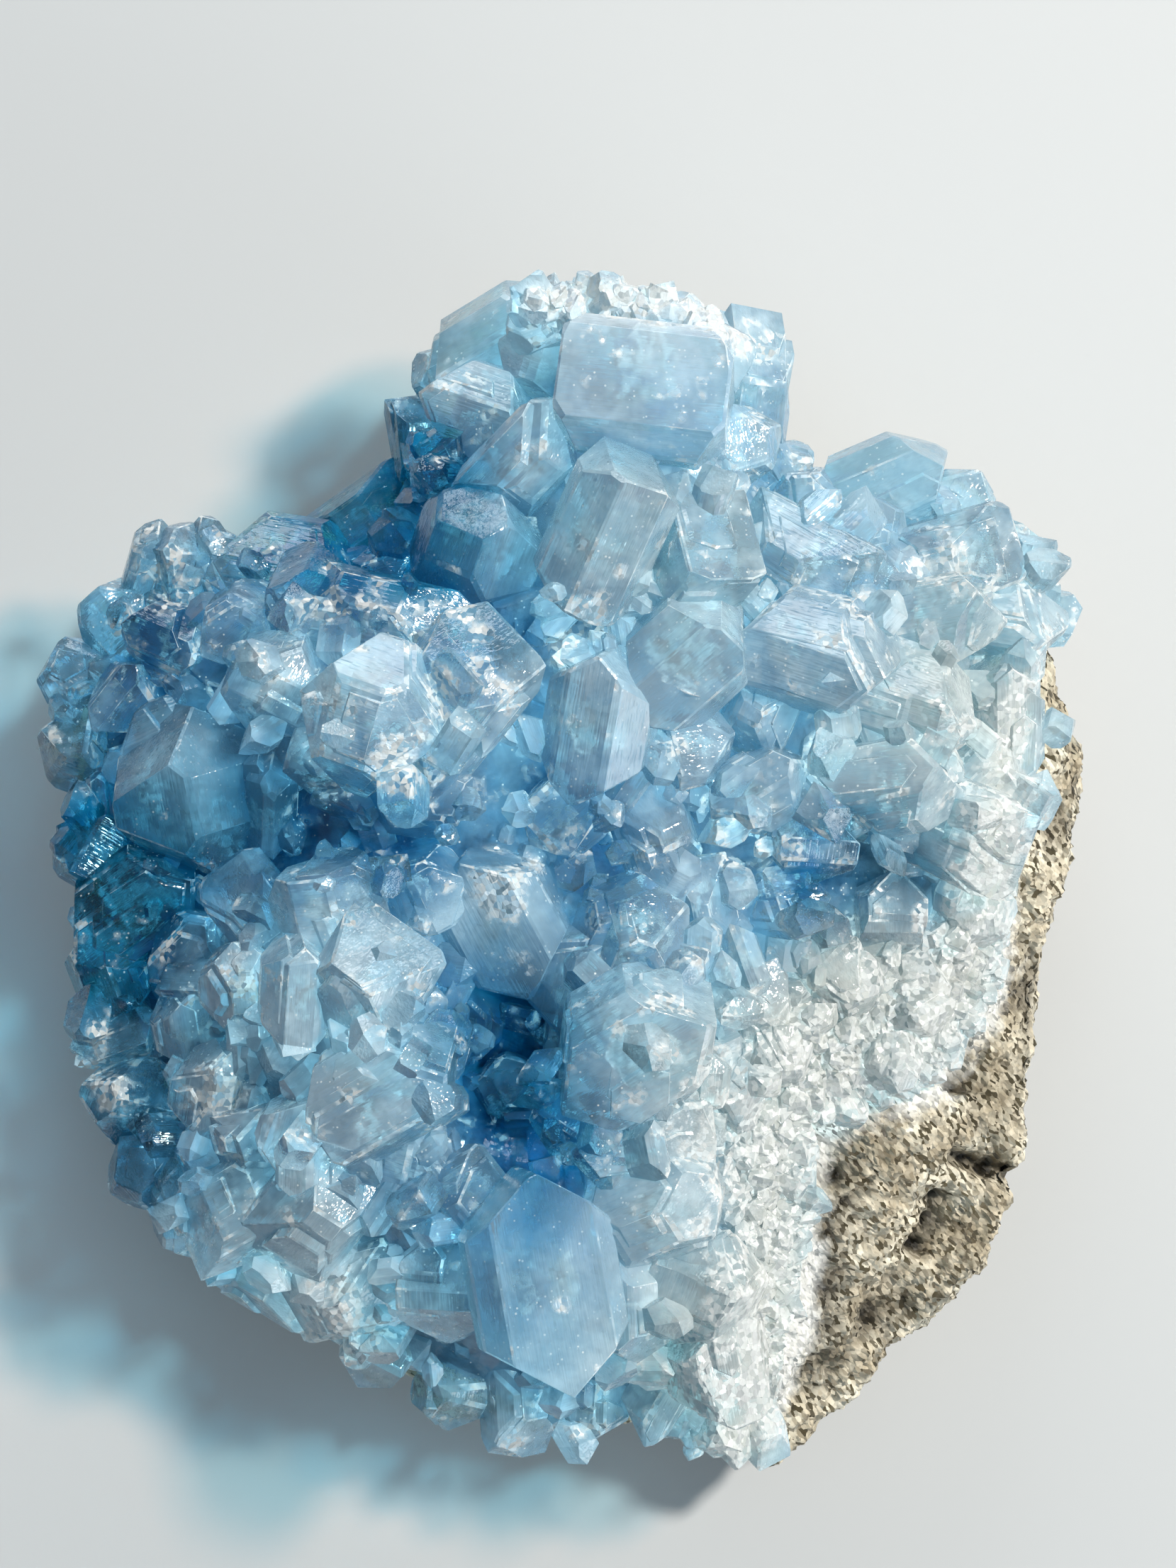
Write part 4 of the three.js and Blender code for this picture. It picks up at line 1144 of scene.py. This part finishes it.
def rootZone():
    # A closed sheet inside the shared bed: its upper face is the bed's less a little, with lumps,
    # and its lower face follows the rock.
    around = spokes(rootSettings["spokes"])

    def under(x, y):
        return rockTop(x, y) + rootSettings["under"]

    def over(x, y):
        rough = rootSettings["lumpHeight"] * lumps(x, y, 3, rootSettings["lumpSize"])
        top = crustTop(x, y) - rootSettings["below"] + rough
        return np.maximum(top, under(x, y) + rootSettings["thinnest"])

    inner = rootSettings["innerRing"]
    outwards = np.linspace(inner, rootSettings["edge"], rootSettings["upperRings"])
    back = np.linspace(rootSettings["underEdge"], inner, rootSettings["lowerRings"])
    upper, lower = planGrid(crustEdge, around, outwards, over), planGrid(crustEdge, around, back, under)
    return closedRings(np.concatenate([upper, lower]))


rootPoints, rootFaces = rootZone()
roots = newPiece("cloudy_roots", meshFrom(rootPoints * millimetre, rootFaces), "celestite")
colourZones(roots.data)
print("cloudy roots:", len(rootFaces), "triangles")

veilMesh = meshFrom(np.concatenate(veilPoints) * millimetre, np.concatenate(veilFaces))
veils = newPiece("healed_cracks", veilMesh, "celestite")
veils.data.shade_smooth()
print("healed cracks:", len(veils.data.polygons), "triangles")


# Host rock

rockSettings = {
    "bareSector": (-78, 28),  # degrees in plan where the rock shows beside the crystals
    "bareSpokes": 260,
    "otherSpokes": 170,
    "topRings": 130,
    "topCrowding": 1.25,  # the higher, the closer the rings lie towards the rim
    "wallRings": 34,
    "backRings": 40,
    "innerRing": 0.02,  # how far out the innermost rings lie, as a share of the rim's reach
    "wallBulge": 1.6,
    "roughness": [(5.0, 1.0), (2.2, 0.5), (1.0, 0.3)],  # lump size and height
    "grain": (0.8, 0.75),  # grain size and depth
    "grainLayers": [(1, 0), (0.5, 9)],  # coarse and fine grains: share of that, and shift of the pattern
    "grainLevel": 0.55,  # as far from a grain's middle the surface stays where it is
    "pitsAbove": 8,  # heights that the pits, and the place under the crystals, begin at
    "buriedAbove": 12,
    "buriedDepth": 1.2,  # how far it keeps below the crystals that grow over it
    "buriedOver": 3,  # over this distance from their edge
    "dustFrom": 9,  # the height that white dust begins at, and over how much it grows full
    "dustOver": 4,
    "combTurn": -52,  # degrees in plan of the way that the grains are combed
    "combStretch": (1.7, 0.8),  # how much longer they are that way, and narrower across it
}


def rockRings():
    # The rock's rings: over the top to the rim, down a bulging wall, and back underneath.
    low, high = np.radians(rockSettings["bareSector"])
    bare = spokes(rockSettings["bareSpokes"], low, high)
    rest = spokes(rockSettings["otherSpokes"], high, low + 2 * math.pi)
    angles = np.concatenate([bare, rest])
    inner = rockSettings["innerRing"]
    shares = 1 - (1 - np.linspace(inner, 1, rockSettings["topRings"])) ** rockSettings["topCrowding"]
    top = planGrid(rockRim, angles, shares, rockTop)
    drawnIn = 1 - bed["undercut"]
    back = planGrid(rockRim, angles, np.linspace(drawnIn, inner, rockSettings["backRings"]), rockBack)
    down = np.linspace(0, 1, rockSettings["wallRings"] + 2)[1:-1, None, None]
    wall = mix(top[-1:], back[:1], down)
    outward = np.stack([np.cos(angles), np.sin(angles), 0 * angles], -1)[None]
    wall = wall + outward * rockSettings["wallBulge"] * np.sin(np.pi * down)
    return np.concatenate([top, wall, back])


def roughened(rings):
    # Moves each point along the surface's own direction by lumps of several sizes and by grains,
    # fading out at the flat that the rock stands on. Gives the points and how deep each one lies.
    across = np.roll(rings, -1, 1) - np.roll(rings, 1, 1)
    direction = unit(np.cross(np.gradient(rings, axis=0), across))
    x, y, z = np.moveaxis(rings, -1, 0)
    height = sum(depth * lumps(x, y, z, size) for size, depth in rockSettings["roughness"])
    size, depth = rockSettings["grain"]
    longer, narrower = rockSettings["combStretch"]
    turn = math.radians(rockSettings["combTurn"])
    along = (x * math.cos(turn) + y * math.sin(turn)) / longer
    aside = (y * math.cos(turn) - x * math.sin(turn)) / narrower
    for share, shift in rockSettings["grainLayers"]:
        grain = rockSettings["grainLevel"] - grains(along + shift, aside, z, size * share)
        height = height + share * depth * grain
    height = height - sumOf(rockPits, x, y) * (z > rockSettings["pitsAbove"])
    edge = reachOf(crustEdge, np.arctan2(y, x)) - np.hypot(x, y)
    buried = mix(height, -rockSettings["buriedDepth"], smoothStep(edge / rockSettings["buriedOver"]))
    above = z > rockSettings["buriedAbove"]
    height = np.where(above, buried, height)
    fade = np.where(above, 1, np.clip(pastRest(x, y) / bed["backFade"], 0, 1))
    moved = rings + direction * (height * fade)[..., None]
    moved[..., 2] = np.maximum(moved[..., 2], 0)
    return moved, height


rings, height = roughened(rockRings())
rockPoints, rockFaces = closedRings(rings)
rock = newPiece("host_rock", meshFrom(rockPoints * millimetre, rockFaces), "host_rock")
rock.data.shade_smooth()
aboveDust = smoothStep((rockPoints[:, 2] - rockSettings["dustFrom"]) / rockSettings["dustOver"])
addAttribute(rock.data, "raised", "POINT", np.append(height.ravel(), [0, 0]))
addAttribute(rock.data, "dusted", "POINT", sugarAt(*rockPoints[:, :2].T) * aboveDust)
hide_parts("matrix")
print("host rock:", len(rockFaces), "triangles")


# Materials

def addNode(tree, kind, entries):
    # Adds a node. Each entry is the node's own property, an input's value, or an input's source,
    # which is a socket or a node whose first output is meant.
    node = tree.nodes.new("ShaderNode" + kind)
    for key, value in entries.items():
        source = value.outputs[0] if isinstance(value, bpy.types.Node) else value
        if isinstance(source, bpy.types.NodeSocket):
            tree.links.new(source, node.inputs[key])
        elif isinstance(key, str) and hasattr(node, key):
            setattr(node, key, value)
        else:
            node.inputs[key].default_value = value
    return node


def newMaterial(name):
    # A material without nodes, and its node tree.
    material = bpy.data.materials.new(name)
    material.use_nodes = True
    material.node_tree.nodes.clear()
    return material, material.node_tree


def scaleOf(size):
    # The scale of a pattern on Object coordinates whose forms have this size in millimetres.
    return 1 / (size * millimetre)


def brokenCells(tree, place, size):
    # A broken surface of small flat cells, each tilted its own way: the height is the dot product of
    # the way from the cell's middle and the cell's chance colour. Gives the height, colour and distance.
    cells = addNode(tree, "TexVoronoi", {"Scale": scaleOf(size), "Vector": place})
    colour = cells.outputs["Color"]
    away = addNode(tree, "VectorMath", {"operation": "SUBTRACT", 0: place, 1: cells.outputs["Position"]})
    tilt = addNode(tree, "VectorMath", {"operation": "SUBTRACT", 0: colour, 1: (0.5, 0.5, 0.5)})
    height = addNode(tree, "VectorMath", {"operation": "DOT_PRODUCT", 0: away, 1: tilt}).outputs["Value"]
    scaled = addNode(tree, "Math", {"operation": "MULTIPLY", 0: height, 1: scaleOf(size)})
    return scaled, colour, cells.outputs["Distance"]


celestite = {
    "absorbed": "#67D8E7",  # what white light becomes inside
    "density": 85,  # per metre
    "ior": 1.62,
    "transmission": (0.98, 0.2),  # where clear, and where milky
    "roughness": (0.11, 0.36),  # where whole, and where crushed
    "calmRoughness": 0.14,  # added on the calm faces
    # white of crushed celestite, also painted in as glints
    "specksAndGlints": "#F3F4F2",
    "shadow": "#F0F7FA",  # what white light becomes in its shadow
    "gritSize": 0.5,  # specks in crushed places and pits on the faces, and their height
    "gritHeight": 0.7,
    "patchSize": 3.03,  # crushed patches, and slow waves of the faces with their height
    "waveHeight": 0.3,
    "cloudSize": 5,  # clouds of fluid specks
    "growthLength": 2.857,  # growth lines along the crystal
    "growthWidth": 0.2747,
    "growthHeight": 0.1,
}


def celestiteMaterial():
    # Celestite, strontium sulphate grown from brine: glassy faces, clear to milky inside, pale blue
    # that deepens with thickness. Where it is crushed it is white, and white specks mixed into its colour
    # stand in partly for glints of light on its broken faces: painted glints.
    material, tree = newMaterial("celestite_grown_crystal")
    place = addNode(tree, "TexCoord", {}).outputs["Object"]
    tint = addNode(tree, "Attribute", {"attribute_name": "tint"}).outputs["Color"]
    own = addNode(tree, "Attribute", {"attribute_name": "own"}).outputs["Vector"]
    milk, shade, worn, crushedAndGlints, calm = (
        addNode(tree, "Attribute", {"attribute_name": name}).outputs["Fac"]
        for name in ("milk", "shade", "worn", "crushedAndGlints", "calm")
    )

    # crushed patches, full of white specks, partly painted glints
    patch = {"Scale": scaleOf(celestite["patchSize"]), "Detail": 2, "Vector": place}
    patch = addNode(tree, "TexNoise", patch)
    level = addNode(tree, "Math", {"operation": "MULTIPLY_ADD", 0: crushedAndGlints, 1: 0.34, 2: patch})
    level = addNode(tree, "Math", {"operation": "MULTIPLY_ADD", 0: worn, 1: 0.1, 2: level})
    broken = addNode(tree, "MapRange", {"From Min": 0.58, "From Max": 0.7, "Value": level})
    grit, chanceColour, apart = brokenCells(tree, place, celestite["gritSize"])
    speck = addNode(tree, "MapRange", {"From Min": 0.25, "From Max": 0.65, "Value": chanceColour})
    specksAndGlints = addNode(tree, "Math", {"operation": "MULTIPLY", 0: broken, 1: speck})

    # small pits on the faces, white inside, fewer on the calm ones
    hollow = addNode(tree, "MapRange", {"From Min": 0.26, "From Max": 0.13, "Value": apart})
    some = addNode(tree, "MapRange", {"From Min": 0.52, "From Max": 0.6, "Value": chanceColour})
    most = addNode(tree, "Math", {"operation": "MULTIPLY_ADD", 0: calm, 1: -0.75, 2: 1.0})
    where = addNode(tree, "MapRange", {"From Min": 0.44, "From Max": 0.56, "To Max": most, "Value": patch})
    pits = addNode(tree, "Math", {"operation": "MULTIPLY", 0: hollow, 1: some})
    pits = addNode(tree, "Math", {"operation": "MULTIPLY", 0: pits, 1: where})
    specksAndGlints = addNode(tree, "Math", {"operation": "MAXIMUM", 0: specksAndGlints, 1: pits})

    # clouds of fluid specks inside, and how milky that, the worn edges and the white specks (partly painted
    # glints) make it
    cloud = {"Scale": scaleOf(celestite["cloudSize"]), "Detail": 3, "Roughness": 0.65, "Vector": place}
    cloud = addNode(tree, "TexNoise", cloud)
    deep = addNode(tree, "Math", {"operation": "MULTIPLY_ADD", 0: calm, 1: -0.25, 2: 0.4})
    cloudy = addNode(tree, "MapRange", {"From Min": 0.45, "From Max": 0.68, "To Max": deep, "Value": cloud})
    shaded = addNode(tree, "Math", {"operation": "MULTIPLY_ADD", 0: shade, 1: 0.18, 2: cloudy})
    chipped = addNode(tree, "Math", {"operation": "MULTIPLY", 0: worn, 1: where})
    edged = addNode(tree, "Math", {"operation": "MULTIPLY_ADD", 0: chipped, 1: 0.35, 2: shaded})
    milky = addNode(tree, "Math", {"operation": "ADD", 0: edged, 1: milk})
    haze = {"operation": "MULTIPLY_ADD", "use_clamp": True, 0: specksAndGlints, 1: 0.7, 2: milky}
    haze = addNode(tree, "Math", haze)
    clear, dull = celestite["transmission"]
    transmission = addNode(tree, "MapRange", {"To Min": clear, "To Max": dull, "Value": haze})
    white = linearColour(celestite["specksAndGlints"])
    colour = addNode(tree, "Mix", {"data_type": "RGBA", 0: specksAndGlints, 6: tint, 7: white})
    smooth, coarse = celestite["roughness"]
    rough = addNode(tree, "MapRange", {"To Min": smooth, "To Max": coarse, "Value": broken})
    added = {"operation": "MULTIPLY_ADD", 0: calm, 1: celestite["calmRoughness"], 2: rough}
    rough = addNode(tree, "Math", added)

    # growth lines along the crystal, slow waves of the faces, and the crushed patches' rough break
    wide = 1 / celestite["growthWidth"]
    lines = addNode(tree, "Mapping", {"Scale": (1 / celestite["growthLength"], wide, wide), "Vector": own})
    growth = addNode(tree, "TexNoise", {"Scale": 1.0, "Detail": 1, "Roughness": 0.65, "Vector": lines})
    high = celestite["growthHeight"] * millimetre
    striated = addNode(tree, "Bump", {"Strength": 0.6, "Distance": high, "Height": growth})
    high = celestite["waveHeight"] * millimetre
    wavy = addNode(tree, "Bump", {"Strength": 0.5, "Distance": high, "Height": patch, "Normal": striated})
    high = celestite["gritHeight"] * millimetre
    etched = addNode(tree, "MapRange", {"To Min": 0.1, "To Max": 0.8, "Value": broken})
    bump = addNode(tree, "Bump", {"Strength": etched, "Distance": high, "Height": grit, "Normal": wavy})

    glass = addNode(tree, "BsdfPrincipled", {
        "IOR": celestite["ior"],
        "Base Color": colour.outputs[2],
        "Transmission Weight": transmission,
        "Roughness": rough,
        "Normal": bump,
    })
    letLight = addNode(tree, "BsdfTransparent", {"Color": linearColour(celestite["shadow"])})
    isShadow = addNode(tree, "LightPath", {}).outputs["Is Shadow Ray"]
    surface = addNode(tree, "MixShader", {0: isShadow, 1: glass, 2: letLight})
    absorbed = {"Color": linearColour(celestite["absorbed"]), "Density": celestite["density"]}
    inside = addNode(tree, "VolumeAbsorption", absorbed)
    addNode(tree, "OutputMaterial", {"Surface": surface, "Volume": inside})
    return material


rootLook = {
    "dark": "#4A6F86",  # shades that the zones' own tint is multiplied by, both kept dark so that the gaps between crystals, where the roots show, look shaded: partly the roots' own blue, partly painted shade
    "light": "#A5BCC8",
    "patchSize": 3.846,
    "bumpHeight": 0.4,
    "roughness": 0.6,
}


def rootMaterial():
    # The crystals' roots: celestite full of fluid specks, grown together, white to deep blue. Their colours
    # are kept dark, partly their own blue and partly painted shade for the gaps between crystals where they
    # show.
    material, tree = newMaterial("celestite_cloudy_roots")
    place = addNode(tree, "TexCoord", {}).outputs["Object"]
    tint = addNode(tree, "Attribute", {"attribute_name": "tint"}).outputs["Color"]
    patches = {"Scale": scaleOf(rootLook["patchSize"]), "Detail": 5, "Roughness": 0.65, "Vector": place}
    patches = addNode(tree, "TexNoise", patches)
    spread = addNode(tree, "MapRange", {"From Min": 0.35, "From Max": 0.65, "Value": patches})
    multiply = {"data_type": "RGBA", "blend_type": "MULTIPLY", 0: 1.0, 6: tint}
    dark = addNode(tree, "Mix", {**multiply, 7: linearColour(rootLook["dark"])}).outputs[2]
    light = addNode(tree, "Mix", {**multiply, 7: linearColour(rootLook["light"])}).outputs[2]
    colour = addNode(tree, "Mix", {"data_type": "RGBA", 0: spread, 6: dark, 7: light}).outputs[2]
    high = rootLook["bumpHeight"] * millimetre
    bump = addNode(tree, "Bump", {"Strength": 0.6, "Distance": high, "Height": patches})
    looks = {"Roughness": rootLook["roughness"], "Base Color": colour, "Normal": bump}
    surface = addNode(tree, "BsdfPrincipled", looks)
    addNode(tree, "OutputMaterial", {"Surface": surface})
    return material


veilLook = {
    "colour": "#F4FAFD",
    "roughness": 0.25,
    "ior": 1.6,
    "speckSize": 1.111,
    "cover": 0.6,  # how much of the light it stops where it is thickest
}


def veilMaterial():
    # Healed cracks: a film of fluid specks that catches the light, thin enough to see through.
    material, tree = newMaterial("celestite_healed_crack")
    place = addNode(tree, "TexCoord", {}).outputs["Object"]
    film = {"Scale": scaleOf(veilLook["speckSize"]), "Detail": 5, "Roughness": 0.7, "Vector": place}
    film = addNode(tree, "TexNoise", film)
    cover = {"From Min": 0.45, "From Max": 0.65, "To Max": veilLook["cover"], "Value": film}
    cover = addNode(tree, "MapRange", cover)
    looks = {"Base Color": linearColour(veilLook["colour"]), "Roughness": veilLook["roughness"]}
    surface = addNode(tree, "BsdfPrincipled", {**looks, "IOR": veilLook["ior"], "Alpha": cover})
    addNode(tree, "OutputMaterial", {"Surface": surface})
    return material


rockLook = {
    "ground": ((0.38, "#C2B59E"), (0.6, "#FFF7E5")),  # colours from the low to the high of the pattern
    "grains": ((0.24, "#5C5846"), (0.5, "#FFFFFB")),
    # painted shade laid into the rock's hollows and pits
    "hollows": "#34322A",
    "dust": "#F2F4F2",
    "roughness": 0.6,
    "grainSize": 0.42,
    "grainHeight": 0.8,
    "patchSize": 6.25,
}


def rockMaterial():
    # Weathered marl with a sugary break: cream grains of half a millimetre over grey-olive, combed
    # one way, darkened in its hollows and pits by painted shade, and dusted with fine white crystals beside
    # the others.
    material, tree = newMaterial("marl_broken_weathered")
    place = addNode(tree, "TexCoord", {}).outputs["Object"]
    raised = addNode(tree, "Attribute", {"attribute_name": "raised"}).outputs["Fac"]
    dusted = addNode(tree, "Attribute", {"attribute_name": "dusted"}).outputs["Fac"]
    comb = {"vector_type": "TEXTURE", "Rotation": (0, 0, math.radians(rockSettings["combTurn"]))}
    combed = addNode(tree, "Mapping", {**comb, "Scale": (*rockSettings["combStretch"], 1), "Vector": place})
    height, chanceColour, _ = brokenCells(tree, combed, rockLook["grainSize"])
    patch = {"Scale": scaleOf(rockLook["patchSize"]), "Detail": 5, "Roughness": 0.65, "Vector": place}
    patch = addNode(tree, "TexNoise", patch)
    ramps = []
    for source, shades in ((patch, rockLook["ground"]), (chanceColour, rockLook["grains"])):
        ramps.append(addNode(tree, "ValToRGB", {0: source}))
        for stop, (position, colour) in zip(ramps[-1].color_ramp.elements, shades):
            stop.position, stop.color = position, linearColour(colour)
    ground, grains = ramps
    multiply = {"data_type": "RGBA", "blend_type": "MULTIPLY"}
    grainy = addNode(tree, "Mix", {**multiply, 0: 1.0, 6: ground, 7: grains}).outputs[2]
    # painted shade: the lower a point lies in a hollow or pit, the darker it is made
    deep = {"From Min": -1.5, "From Max": 0.15, "To Min": 1.0, "To Max": 0.0, "Value": raised}
    deep = addNode(tree, "MapRange", deep)
    dark = addNode(tree, "Mix", {**multiply, 0: deep, 6: grainy, 7: linearColour(rockLook["hollows"])})
    dust = addNode(tree, "Math", {"operation": "ADD", 0: dusted, 1: patch})
    white = addNode(tree, "MapRange", {"From Min": 0.8, "From Max": 1.05, "To Max": 0.85, "Value": dust})
    frosted = {"data_type": "RGBA", 0: white, 6: dark.outputs[2], 7: linearColour(rockLook["dust"])}
    frosted = addNode(tree, "Mix", frosted).outputs[2]
    high = rockLook["grainHeight"] * millimetre
    bumpy = addNode(tree, "Bump", {"Strength": 1.0, "Distance": high, "Height": height})
    looks = {"Roughness": rockLook["roughness"], "Base Color": frosted, "Normal": bumpy}
    surface = addNode(tree, "BsdfPrincipled", looks)
    addNode(tree, "OutputMaterial", {"Surface": surface})
    return material


finishes = [(crust, celestiteMaterial), (roots, rootMaterial), (veils, veilMaterial), (rock, rockMaterial)]
for piece, finish in finishes:
    piece.data.materials.clear()
    piece.data.materials.append(finish())
print("materials done")


# Floor, light and camera

stageSettings = {
    "floorSide": 2.4,  # metres, as all lengths of the stage are
    "floorColour": "#CFD2D4",
    "floorRoughness": 0.9,
    "worldColour": "#B2D3E6",
    "worldStrength": 0.26,
    "target": (0.0029, 0.0085, 0.022),
    "height": 0.5,  # from the camera to the target
    "elevation": 87,  # degrees
    "frameHeight": 0.1427,  # what the frame's long side takes in at the target
    "sensor": 36,  # millimetres
    "clip": (0.01, 10),
    "lamps": [  # name, place from the target, side, power in watts, colour
        ("key", (0.40, 0.19, 0.58), 0.07, 5.6, "#FFF8EE"),
        ("fill", (-0.25, 0.1, 0.8), 0.9, 0.52, "#EAF3FF"),
        ("top rim", (-0.06, 0.6, 0.2), 0.3, 1.2, "#FFFFFF"),
        ("right rim", (0.45, -0.35, 0.14), 0.3, 1.0, "#FFFFFF"),
    ],
}


def addFloor():
    # A flat square of matt paper.
    half = stageSettings["floorSide"] / 2
    corners = [(-half, -half, 0), (half, -half, 0), (half, half, 0), (-half, half, 0)]
    floor = newPiece("floor", meshFrom(corners, [(0, 1, 2, 3)]))
    material, tree = newMaterial("paper_backdrop")
    colour = linearColour(stageSettings["floorColour"])
    matt = {"Base Color": colour, "Roughness": stageSettings["floorRoughness"]}
    addNode(tree, "OutputMaterial", {"Surface": addNode(tree, "BsdfPrincipled", matt)})
    floor.data.materials.append(material)


def addLamp(name, place, side, power, colour):
    # A square lamp that faces the target.
    data = bpy.data.lights.new(name, "AREA")
    data.size, data.energy, data.color = side, power, linearColour(colour)[:3]
    lamp = bpy.data.objects.new(name, data)
    bpy.context.scene.collection.objects.link(lamp)
    target = Vector(stageSettings["target"])
    lamp.location = target + Vector(place)
    lamp.rotation_euler = (target - lamp.location).to_track_quat("-Z", "Y").to_euler()


def addCamera():
    # Looks down on the crystals, tipped from straight above towards the lower edge.
    data = bpy.data.cameras.new("camera")
    data.sensor_width = stageSettings["sensor"]
    data.lens = data.sensor_width * stageSettings["height"] / stageSettings["frameHeight"]
    data.clip_start, data.clip_end = stageSettings["clip"]
    camera = bpy.data.objects.new("camera", data)
    bpy.context.scene.collection.objects.link(camera)
    tip = math.radians(90 - stageSettings["elevation"])
    away = Vector((0, -math.sin(tip), math.cos(tip))) * stageSettings["height"]
    camera.location = Vector(stageSettings["target"]) + away
    camera.rotation_euler = (tip, 0, 0)
    bpy.context.scene.camera = camera


def addWorld():
    # Even light from all round.
    world = bpy.data.worlds.new("studio")
    world.use_nodes = True
    tree = world.node_tree
    tree.nodes.clear()
    colour = linearColour(stageSettings["worldColour"])
    sky = addNode(tree, "Background", {"Color": colour, "Strength": stageSettings["worldStrength"]})
    addNode(tree, "OutputWorld", {"Surface": sky})
    bpy.context.scene.world = world


addFloor()
for lamp in stageSettings["lamps"]:
    addLamp(*lamp)
addWorld()
addCamera()
bpy.context.scene.view_settings.view_transform = "Standard"
cycles = bpy.context.scene.cycles
cycles.max_bounces = 6
cycles.transmission_bounces = 5
cycles.transparent_max_bounces = 6
cycles.diffuse_bounces = 2
cycles.glossy_bounces = 1
cycles.use_light_tree = False  # four lamps need none, and it takes a fifth longer
print("stage done")
